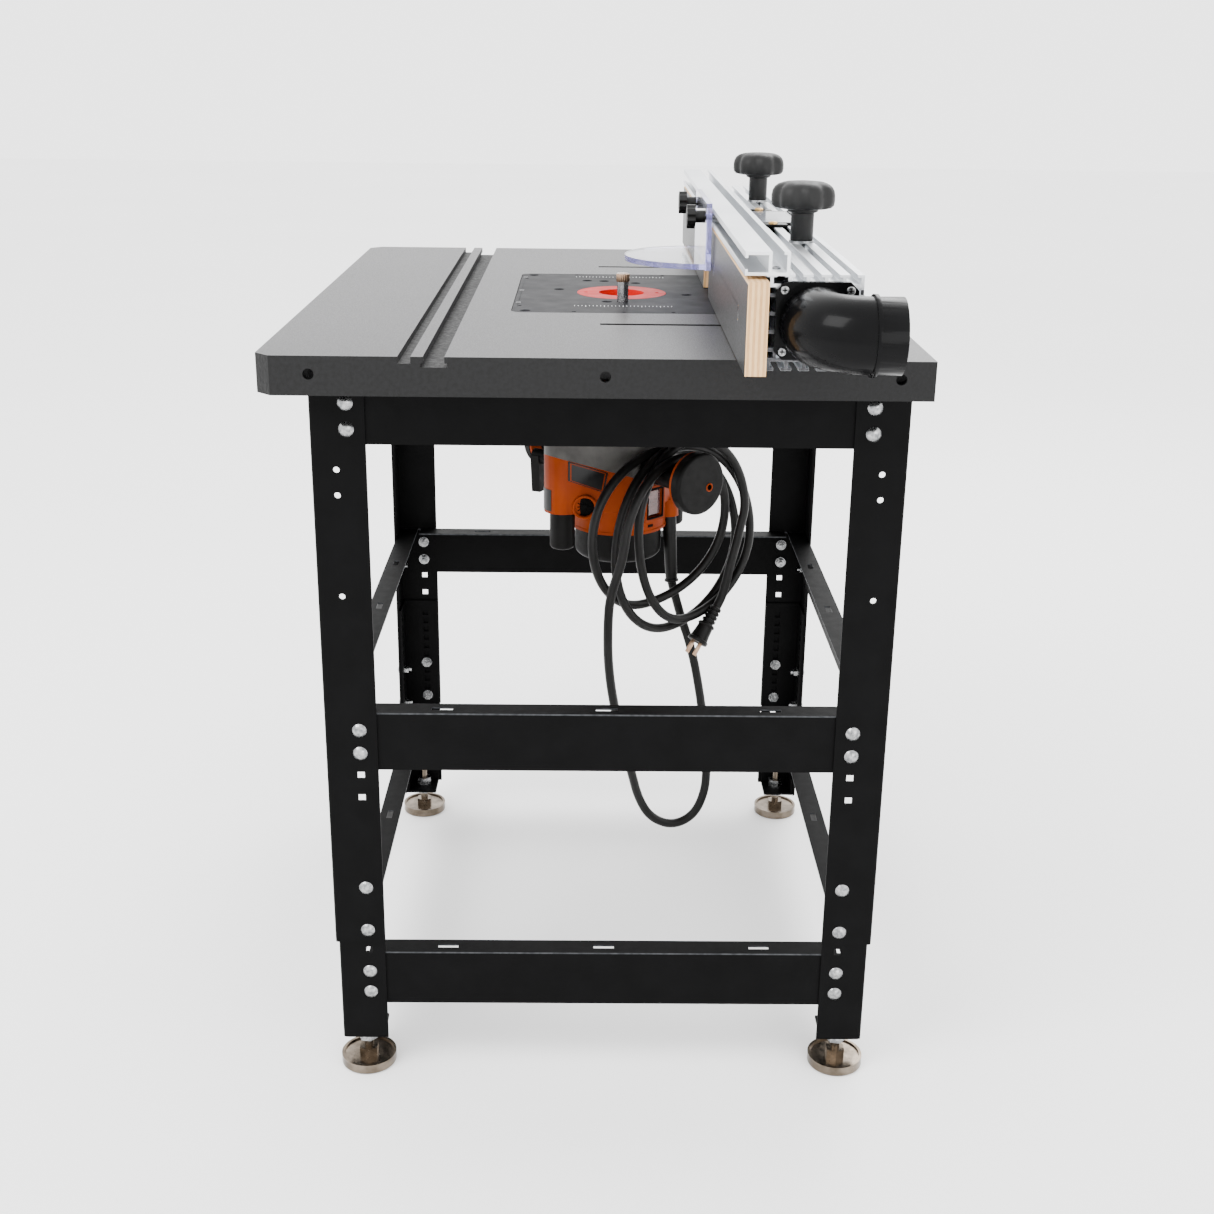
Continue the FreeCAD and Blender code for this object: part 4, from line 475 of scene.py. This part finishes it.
def add_piece(name, draw, look, body):
    """A piece drawn by a function into a bmesh, with its material and body."""
    bm = bmesh.new()
    draw(bm)
    bmesh.ops.recalc_face_normals(bm, faces=bm.faces)
    mesh = bpy.data.meshes.new(name)
    bm.to_mesh(mesh)
    bm.free()
    mesh.materials.append(LOOKS[look])
    for polygon in mesh.polygons:
        polygon.use_smooth = True
    mesh.set_sharp_from_angle(angle=SMOOTH_BELOW)
    piece = bpy.data.objects.new(name, mesh)
    bpy.context.scene.collection.objects.link(piece)
    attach(piece, body)
    return piece


def basis(axis):
    """Two unit vectors square to an axis and to each other."""
    hint = ALONG if abs(axis.dot(UP)) > 0.95 else UP
    first = hint.cross(axis).normalized()
    return first, axis.cross(first).normalized()


def around(axis, steps):
    """The unit vectors square to an axis, all the way round, each with its angle."""
    first, second = basis(axis)
    for step in range(steps):
        angle = 2 * math.pi * step / steps
        yield angle, first * math.cos(angle) + second * math.sin(angle)


def lobed_into(bm, origin, axis, profile, lobes, depth, steps=140):
    """A turned body whose rim is scalloped: a profile of (along, radius, share of the scallop)."""
    rings = []
    for along, radius, share in profile:
        ring = []
        for angle, away in around(axis, steps):
            dip = (0.5 - 0.5 * math.cos(lobes * angle)) ** 2
            reach = radius * (1 - depth * share * dip)
            ring.append(bm.verts.new(origin + axis * (along * MM) + away * (reach * MM)))
        rings.append(ring)
    for low, high in zip(rings, rings[1:]):
        for step in range(steps):
            after = (step + 1) % steps
            bm.faces.new((low[step], low[after], high[after], high[step]))
    bm.faces.new(rings[0][::-1])
    bm.faces.new(rings[-1])


def lathe_into(bm, origin, axis, profile, steps=48):
    """Turn a profile of (along, radius) in millimetres round an axis, closed at both ends."""
    lobed_into(bm, origin, axis, [(along, radius, 0) for along, radius in profile], 0, 0, steps)


def hoop_into(bm, origin, axis, loop, steps=40):
    """Turn a closed loop of (along, radius) in millimetres round an axis: an open ring."""
    rings = []
    for angle, away in around(axis, steps):
        rings.append([bm.verts.new(origin + axis * (a * MM) + away * (r * MM)) for a, r in loop])
    for step in range(steps):
        here, there = rings[step], rings[(step + 1) % steps]
        for index in range(len(loop)):
            after = (index + 1) % len(loop)
            bm.faces.new((here[index], here[after], there[after], there[index]))


def block_into(bm, middle, axes, size, bevel=0.0):
    """A box about its middle, along three unit vectors, sized in millimetres."""
    halves = (-0.5, 0.5)
    corners = []
    for shares in itertools.product(halves, halves, halves):
        spans = [axis * (share * length) for axis, share, length in zip(axes, shares, size)]
        corners.append(bm.verts.new(middle + (spans[0] + spans[1] + spans[2]) * MM))
    made = [bm.faces.new([corners[i] for i in face]) for face in BOX_FACES]
    if bevel:
        edges = list({edge for face in made for edge in face.edges})
        bmesh.ops.bevel(bm, geom=edges, offset=bevel * MM, segments=3, profile=0.5, affect="EDGES")


def slab_into(bm, points, push):
    """A flat polygon pushed along a vector, both in metres."""
    low = [bm.verts.new(p) for p in points]
    high = [bm.verts.new(Vector(p) + push) for p in points]
    bm.faces.new(low[::-1])
    bm.faces.new(high)
    count = len(points)
    for index in range(count):
        after = (index + 1) % count
        bm.faces.new((low[index], low[after], high[after], high[index]))


# ---- Cord ----
CORD_RADIUS = 5.3
RELIEF_TOP = (-2.0, 90.5, -262.0)
# The drop from the strain relief and up to the turns, the same route as the CAD tube's.
CORD_DROP = (
    (5.0, 95.0, -342.0),
    (8.0, 104.0, -377.0),
    (12.0, 121.0, -425.0),
    (14.0, 132.0, -478.0),
    (18.0, 141.0, -538.0),
    (21.0, 144.0, -582.0),
    (26.0, 142.0, -612.0),
    (33.0, 129.0, -640.0),
    (42.0, 102.0, -650.0),
    (52.0, 74.0, -634.0),
    (62.0, 58.0, -602.0),
    (80.0, 48.5, -558.0),
    (101.0, 37.0, -508.0),
    (120.0, 25.5, -454.0),
    (129.0, 18.5, -402.0),
    (130.0, 17.5, -356.0),
    (128.0, 19.5, -320.0),
)
# The loose turns on the right handle's neck. Each row is the furthest point of a turn to the left,
# top, right or bottom, in order: across, up, and the layer that it lies in, 0 next to the housing.
TURN_EXTREMES = (
    (-77.0, -279.0, 3.0),
    (6.0, -172.0, 3.0),
    (100.0, -266.0, 1.05),
    (-16.0, -353.0, 0.0),
    (-95.0, -260.0, 0.0),
    (10.0, -169.5, 0.0),
    (121.0, -287.0, 1.0),
    (12.0, -385.0, 1.0),
    (-70.0, -284.0, 1.0),
    (23.0, -165.0, 1.0),
    (134.0, -282.0, 2.0),
    (28.0, -375.0, 2.0),
    (-46.0, -252.0, 2.0),
    (34.0, -157.0, 2.0),
    (112.0, -246.0, 3.0),
)
QUARTER_POINTS = 4
LAYER_FROM = 66.5
LAYER_PITCH = 11.2
TAIL_REACH = 100.0
CORD_TAIL = (
    (105.0, -270.0),
    (99.0, -292.0),
    (90.5, -316.0),
    (84.0, -339.0),
    (78.5, -354.5),
    (70.4, -364.6),
)
BOOT_RIBS = 4
PRONG_MIDDLE = 55.5
PRONG_ASIDE = 6.35
PRONG_SIZE = (1.5, 6.3, 17.0)
# The rounded lip at the strain relief's tip, as (along, radius), and how far it reaches back.
LIP_PROFILE = ((0.0, 7.1), (0.6, 8.1), (2.2, 8.5), (3.4, 8.1), (4.0, 6.6))
LIP_BACK = 3.6


def turn_points():
    """The loose turns as quarter ellipses, each from one extreme to the next."""
    points = []
    for number, (start, end) in enumerate(zip(TURN_EXTREMES, TURN_EXTREMES[1:])):
        for step in range(QUARTER_POINTS):
            share = step / QUARTER_POINTS
            late = 1 - math.cos(share * math.pi / 2)
            early = math.sin(share * math.pi / 2)
            across, up = (late, early) if number % 2 == 0 else (early, late)
            layer = start[2] + (end[2] - start[2]) * share
            points.append((
                start[0] + (end[0] - start[0]) * across,
                start[1] + (end[1] - start[1]) * up,
                LAYER_FROM + LAYER_PITCH * layer,
            ))
    last_across, last_up, last_layer = TURN_EXTREMES[-1]
    return points + [(last_across, last_up, LAYER_FROM + LAYER_PITCH * last_layer)]


def plug_profile():
    """Boot ribs, collar and body of the plug, as (along, radius)."""
    profile = [(0.0, 5.8), (0.6, 6.2)]
    for rib in range(BOOT_RIBS):
        start = 1.5 + rib * 5.2
        top = 7.2 + rib * 0.35
        groove = top - 1.4
        profile += [(start, top), (start + 2.9, top), (start + 3.3, groove), (start + 4.8, groove)]
    profile += [(23.0, 9.2), (24.4, 10.4), (25.8, 10.4), (26.6, 9.2), (36.0, 10.0), (43.0, 11.0)]
    return profile + [(44.2, 12.6), (47.2, 12.6), (48.0, 11.8)]


def make_plug(start, along):
    """The moulded plug and its two flat blades."""
    def moulding(bm):
        lathe_into(bm, start, along, plug_profile())

    def prongs(bm):
        flat = HANDLE_OUT.cross(along).normalized()
        for side in (-1, 1):
            middle = start + along * (PRONG_MIDDLE * MM) + HANDLE_OUT * (side * PRONG_ASIDE * MM)
            block_into(bm, middle, (HANDLE_OUT, flat, along), PRONG_SIZE, 0.35)

    plug = add_piece("plug_moulding", moulding, "cord_rubber", "motor")
    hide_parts("plug")
    return [plug, add_piece("plug_prongs", prongs, "plug_brass", "motor")]


def make_cord():
    curve = bpy.data.curves.new("mains_cord", "CURVE")
    curve.dimensions = "3D"
    curve.bevel_depth = CORD_RADIUS * MM
    curve.bevel_resolution = 5
    curve.resolution_u = 10
    curve.use_fill_caps = True
    points = [at(*point) for point in CORD_DROP]
    points += [coil(*point) for point in turn_points()]
    points += [coil(*point, TAIL_REACH) for point in CORD_TAIL]
    spline = curve.splines.new("NURBS")
    spline.points.add(len(points) - 1)
    for slot, point in zip(spline.points, points):
        slot.co = (*point, 1)
    spline.order_u = 3
    spline.use_endpoint_u = True
    cord = bpy.data.objects.new("mains_cord", curve)
    bpy.context.scene.collection.objects.link(cord)
    curve.materials.append(LOOKS["cord_rubber"])
    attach(cord, "motor")
    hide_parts("cord_tube", "cord_coil", "cord_tail")

    plug = make_plug(points[-1], (points[-1] - points[-2]).normalized())
    relief_axis = (points[0] - at(*RELIEF_TOP)).normalized()

    def lip(bm):
        lathe_into(bm, points[0] - relief_axis * LIP_BACK * MM, relief_axis, LIP_PROFILE)

    relief = [add_piece("relief_lip", lip, "cord_rubber", "motor"), NODES["strain_relief"]]


make_camera()
make_cord()
make_stage()


# ---- CAD nodes: edges and materials ----
MERGE_WITHIN = 0.00001
ROUND_ABOVE = math.radians(40)
# Width of the rounding on a node's edges, in millimetres.
ROUNDED = {
    "table_top": 0.8, "insert_plate": 0.4, "insert_ring": 0.5, "top_track": 0.35, "fence_extrusion": 0.25,
    "board_right": 0.5, "board_left": 0.5, "bit_hood": 0.6, "dust_port": 0.4, "motor_housing": 1.4,
    "motor_casting": 1.4, "handle_necks": 0.8, "plunge_lever": 2.0, "router_base": 0.8, "foot_brackets": 0.5,
}
SLOT_OF = {row["node"]: row["material_slot"] for row in frame["record"]["subparts"]}

# Nodes whose look isn't the one named after their material slot.
LOOK_OF = {
    "hood_cover": "clear_lid", "power_switch": "smoke_clear",
    "mid_rails_end": "rail_steel", "mid_rails_side": "rail_steel",
    "low_rails_end": "rail_steel", "low_rails_side": "rail_steel",
}


def soften(piece, width):
    """Round a CAD node's sharp edges a little, without touching its mesh."""
    weld = piece.modifiers.new("weld", "WELD")
    weld.merge_threshold = MERGE_WITHIN
    bevel = piece.modifiers.new("round", "BEVEL")
    bevel.width = width * MM
    bevel.segments = 2
    bevel.limit_method = "ANGLE"
    bevel.angle_limit = ROUND_ABOVE
    bevel.use_clamp_overlap = True
    bevel.harden_normals = True


def dress_nodes():
    for name, piece in NODES.items():
        piece.data.materials.clear()
        piece.data.materials.append(LOOKS[LOOK_OF.get(name, SLOT_OF[name])])
        for polygon in piece.data.polygons:
            polygon.material_index = 0
        if name in ROUNDED:
            soften(piece, ROUNDED[name])


# ---- Detail on the router ----
# Headings are in degrees from the table's length, lengths in millimetres.
FLANK_HEADING = 14.4
# The label plate's corners on the right flank, as (along, up), its reach and its thickness.
LABEL_CORNERS = ((75.0, -178.5), (75.0, -201.0), (32.9, -217.4), (28.4, -194.3))
LABEL_REACH = 55.6
LABEL_THICK = 1.7
BORDER_OUTER, BORDER_INNER = 0.9, 0.84
# The brush boss as a closed loop of (along, radius), and its cap set inside it.
BOSS_LOOP = (
    (-20.0, 12.6), (-20.0, 14.9), (1.0, 14.5), (2.4, 13.7),
    (2.6, 12.4), (1.6, 11.2), (-9.0, 10.7), (-20.0, 10.4),
)
CAP_PROFILE = ((-12.0, 10.9), (-2.4, 10.8), (-1.6, 9.6), (-1.4, 6.0))
CAP_BUTTON = ((-1.6, 3.8), (0.2, 3.6), (0.6, 3.0))
CAP_RIBS = 6
LEFT_ARM = 84.0
DRUM_SLOT_TURNS = (41.0, 161.0, 281.0)
VENTS = 18
SEAM_LOOP = ((-270.6, 50.6), (-270.6, 56.6), (-267.6, 56.6), (-267.6, 50.6))
SWITCH_HEADING = 45.0
SWITCH_Z = -235.0
# The bars of the switch's frame: along, up, width and height.
SWITCH_BARS = (
    (-12.6, 0.0, 1.8, 36.0), (12.6, 0.0, 1.8, 36.0),
    (0.0, -17.4, 25.4, 1.8), (0.0, 17.4, 25.4, 1.8),
)
HANDLE_Z = -194.0
# Side, reach and body of each round handle, then the loops of its ring and of the ring in its face.
HANDLES = {"right": (1, 126.5, "winder"), "left": (-1, 126.0, "motor")}
HANDLE_BAND = ((-0.4, 20.0), (-0.4, 33.2), (0.3, 34.3), (3.2, 34.3), (3.9, 33.7), (3.9, 20.0))
EYE_LOOP = ((-3.0, 3.3), (-3.0, 4.9), (0.2, 4.9), (0.7, 4.4), (0.7, 3.7), (0.2, 3.3))
RIB_TURNS = (-18.0, 2.0, 22.0, 58.0, 78.0, 98.0, 170.0, 200.0)


def heading(degrees):
    """The level unit vector at an angle from the table's length."""
    return Vector((math.cos(math.radians(degrees)), math.sin(math.radians(degrees)), 0))


def from_axis(direction, reach, z, along=0.0):
    """A point beside the motor's axis: out along a direction, along the tangent, and up."""
    return AXIS + (direction * reach + direction.cross(UP) * along + UP * z) * MM


def make_label():
    """The blank label plate on the housing's right flank, following its sloping joint."""
    out = heading(FLANK_HEADING)
    points = [from_axis(out, LABEL_REACH, z, along) for along, z in LABEL_CORNERS]

    def plate(bm):
        slab_into(bm, points, out * (LABEL_THICK * MM))
        bmesh.ops.bevel(bm, geom=list(bm.edges), offset=0.5 * MM, segments=2, profile=0.5, affect="EDGES")

    def border(bm):
        middle = sum(points, Vector()) / len(points)
        outer = [middle + (point - middle) * BORDER_OUTER for point in points]
        inner = [middle + (point - middle) * BORDER_INNER for point in points]
        for index in range(len(points)):
            after = (index + 1) % len(points)
            edge = [outer[index], outer[after], inner[after], inner[index]]
            slab_into(bm, [point + out * (1.6 * MM) for point in edge], out * (0.25 * MM))

    add_piece("label_plate", plate, "label_face", "motor")
    add_piece("label_border", border, "router_orange", "motor")


def make_brush_boss():
    """The round boss over the motor's brush, with its slotted cap set deep inside."""
    centre = from_axis(heading(FLANK_HEADING), 58.5, -232.5, 56.0)
    out = heading(2.0)

    def boss(bm):
        hoop_into(bm, centre, out, BOSS_LOOP)

    def cap(bm):
        first, second = basis(out)
        lathe_into(bm, centre, out, CAP_PROFILE)
        for step in range(CAP_RIBS):
            angle = math.pi * step / CAP_RIBS
            along = first * math.cos(angle) + second * math.sin(angle)
            axes = (along, out.cross(along), out)
            block_into(bm, centre - out * (1.3 * MM), axes, (18.6, 1.1, 1.2), 0.2)
        lathe_into(bm, centre, out, CAP_BUTTON, 24)

    add_piece("brush_boss", boss, "router_orange", "motor")
    add_piece("brush_cap", cap, "dark_recess", "motor")


def wrap_into(bm, centre, radius, thick, turns, heights):
    """A patch bent round an upright cylinder, between two angles and two heights."""
    steps = 18
    columns = []
    for step in range(steps + 1):
        out = heading(turns[0] + (turns[1] - turns[0]) * step / steps)
        column = []
        for reach in (radius, radius + thick):
            for height in heights:
                column.append(bm.verts.new(centre + out * (reach * MM) + UP * (height * MM)))
        columns.append(column)
    outline = (0, 1, 3, 2)
    for here, there in zip(columns, columns[1:]):
        for a, b in zip(outline, outline[1:] + outline[:1]):
            bm.faces.new((here[a], here[b], there[b], there[a]))
    for column in (columns[0], columns[-1]):
        bm.faces.new([column[index] for index in outline])


def make_router_marks():
    """The blank rating label on the left arm, the drum's seam, and dark blocks of painted shade standing for
    the drum's slots and the end cap's vents.
    """
    def rating(bm):
        arm = AXIS - HANDLE_SIDE * (LEFT_ARM * MM)
        wrap_into(bm, arm, 20.4, 1.1, (-116.0, -36.0), (-238.0, -213.0))

    def slots(bm):
        # Painted shade: dark blocks stand for the shade inside the drum's slots.
        for turn in DRUM_SLOT_TURNS:
            out = heading(turn)
            block_into(bm, from_axis(out, 55.9, -262.0), (out.cross(UP), UP, out), (8.0, 3.4, 0.9), 0.3)

    def vents(bm):
        # Painted shade: dark blocks stand for the shade inside the end cap's vents.
        for step in range(VENTS):
            out = heading(360.0 / VENTS * step)
            block_into(bm, from_axis(out, 29.0, -306.9), (out.cross(UP), out, UP), (3.4, 20.0, 0.7), 0.25)

    def seam(bm):
        hoop_into(bm, AXIS, UP, SEAM_LOOP, 72)

    add_piece("rating_label", rating, "label_face", "motor")
    add_piece("drum_slot_shade", slots, "dark_recess", "motor")
    add_piece("cap_vent_shade", vents, "dark_recess", "motor")
    add_piece("drum_seam", seam, "router_orange", "motor")


def make_switch_trim():
    """The dark frame round the rocker."""
    out = heading(SWITCH_HEADING)

    def bars(bm):
        for along, rise, width, height in SWITCH_BARS:
            middle = from_axis(out, 59.3, SWITCH_Z + rise, along)
            block_into(bm, middle, (out.cross(UP), UP, out), (width, height, 1.6), 0.4)

    add_piece("switch_frame", bars, "dark_recess", "motor")


def make_handle_trim():
    """The coloured ring behind each round handle and round its off-centre hole."""
    for name, (side, reach, body) in HANDLES.items():
        away = HANDLE_OUT * side
        start = AXIS + away * (reach * MM) + UP * (HANDLE_Z * MM)
        face = start + away * (16.0 * MM) + HANDLE_SIDE * (12.0 * MM) - UP * (5.0 * MM)

        def band(bm):
            hoop_into(bm, start, away, HANDLE_BAND, 72)

        def eye(bm):
            hoop_into(bm, face, away, EYE_LOOP, 28)

        add_piece("handle_ring_" + name, band, "router_orange", body)
        add_piece("handle_eye_" + name, eye, "router_orange", body)


def make_casting_ribs():
    """Cast ribs on the light casting above the housing."""
    def ribs(bm):
        for turn in RIB_TURNS:
            out = heading(turn)
            block_into(bm, from_axis(out, 47.5, -137.0), (out.cross(UP), UP, out), (3.2, 26.0, 10.0), 0.9)

    add_piece("casting_ribs", ribs, "router_grey", "motor")


# ---- Detail on the table and plate ----
# Where each ruler starts and which way its ticks run, then how many ticks lie each side of its middle.
RULERS = ((99.0, 1), (-122.0, -1))
RULER_HALF = 13
RULER_MIDDLE = 30.0
TICK_PITCH = 4.0
TICK_LONG, TICK_SHORT = 8.0, 4.5
TICK_LIFT = 0.06
TICK_THICK = 0.14
WITNESS_MARKS = (81.0, -9.5, -118.0)
WITNESS_Y = -83.0
PIN_PLACE = (72.0, 30.0, 22.0)
PIN_PROFILE = (
    (0.0, 6.3, 0.0), (0.4, 7.0, 0.3), (1.0, 7.3, 1.0),
    (7.6, 7.3, 1.0), (8.4, 6.9, 0.3), (9.0, 5.6, 0.0),
)
PIN_KNURLS = 20


def make_plate_marks():
    """Two plain rulers, ticks only, on either side of the ring, and witness marks by the edge."""
    axes = (ALONG, DEEP, UP)

    def ticks(bm):
        for start, sign in RULERS:
            for step in range(-RULER_HALF, RULER_HALF + 1):
                length = TICK_LONG if step % 5 == 0 else TICK_SHORT
                place = at(start + sign * length / 2, RULER_MIDDLE + step * TICK_PITCH, TICK_LIFT)
                block_into(bm, place, axes, (length, 0.7, TICK_THICK))
        for x in WITNESS_MARKS:
            block_into(bm, at(x, WITNESS_Y, TICK_LIFT), axes, (0.9, 5.0, TICK_THICK))

    add_piece("plate_rulers", ticks, "scale_print", "table")


def make_pin_head():
    """The starter pin's knurled head over a narrow neck."""
    def head(bm):
        lobed_into(bm, at(*PIN_PLACE), UP, PIN_PROFILE, PIN_KNURLS, 0.07, 160)

    add_piece("pin_head", head, "plug_brass", "starter_pin")


# ---- Detail on the fence ----
PORT_SCREW_MIDDLE = (464.5, 186.5, 44.0)
PORT_SCREW_ASIDE, PORT_SCREW_RISE = 28.0, 26.0
TRACK_SCREWS = (-440.0, -220.0, 60.0, 240.0, 445.0)
HOOD_Y = 189.5
HOOD_LIPS = (171.0, 222.0)
KNOB_ASIDE, KNOB_Y, KNOB_Z = 220.0, 201.9, 84.7
KNOB_LOBES = 7
KNOB_PROFILE = (
    (0.0, 10.8, 0.0), (0.6, 11.2, 0.0), (26.0, 11.2, 0.0), (27.5, 14.6, 0.0),
    (30.0, 15.6, 0.0), (30.6, 24.0, 0.2), (31.6, 28.2, 0.7), (34.0, 30.6, 1.0),
    (38.0, 31.3, 1.0), (43.0, 31.3, 1.0), (47.5, 30.4, 1.0), (51.0, 28.4, 0.9),
    (53.6, 25.0, 0.75), (55.2, 20.0, 0.5), (55.9, 13.0, 0.2), (56.1, 5.0, 0.0),
)


def cross_into(bm, place, out, size):
    """A dark cross on a screw's head: painted shade standing for its crossed recess."""
    axes = (*basis(out), out)
    slot = size * 0.24
    block_into(bm, place, axes, (size, slot, 0.3))
    block_into(bm, place, axes, (slot, size, 0.3))


def make_fence_detail():
    """Painted shade for the crossed recesses of the fence's screws, and the flanges of the hood with their
    brass screws.
    """
    axes = (ALONG, DEEP, UP)
    x, y, z = PORT_SCREW_MIDDLE

    def recesses(bm):
        # Painted shade: dark crosses on the screw heads take the place of their recesses.
        for side_y in (-1, 1):
            for side_z in (-1, 1):
                place = at(x, y + side_y * PORT_SCREW_ASIDE, z + side_z * PORT_SCREW_RISE)
                cross_into(bm, place, ALONG, 4.2)
        for track_x in TRACK_SCREWS:
            cross_into(bm, at(track_x, 152.38, 87.05), UP, 4.4)

    def flanges(bm):
        for side in (-1, 1):
            block_into(bm, at(side * 74.5, HOOD_Y, 84.0), axes, (21.0, 30.0, 2.8), 0.6)
        for lip_y in HOOD_LIPS:
            block_into(bm, at(0.0, lip_y, 86.2), axes, (126.0, 4.0, 1.2), 0.3)

    def screws(bm):
        for side in (-1, 1):
            place = at(side * 76.0, HOOD_Y, 85.3)
            lathe_into(bm, place, UP, ((0.0, 5.0), (1.4, 4.9), (2.2, 4.2), (2.6, 2.8)), 28)

    add_piece("screw_recess_shade", recesses, "dark_recess", "fence")
    add_piece("hood_flanges", flanges, "gloss_black", "fence")
    add_piece("hood_screws", screws, "brass", "fence")


def make_fence_knobs():
    """The two large clamping knobs: a stem, a flared underside and a domed, shallow-lobed head."""
    for name, side in (("right", 1), ("left", -1)):
        def head(bm):
            lobed_into(bm, at(side * KNOB_ASIDE, KNOB_Y, KNOB_Z), UP, KNOB_PROFILE, KNOB_LOBES, 0.1)

        knob = add_piece("clamp_knob_" + name, head, "knob_black", "fence_knob_" + name)
        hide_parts("fence_knob_" + name)


dress_nodes()
make_label()
make_brush_boss()
make_router_marks()
make_switch_trim()
make_handle_trim()
make_casting_ribs()
make_plate_marks()
make_pin_head()
make_fence_detail()
make_fence_knobs()
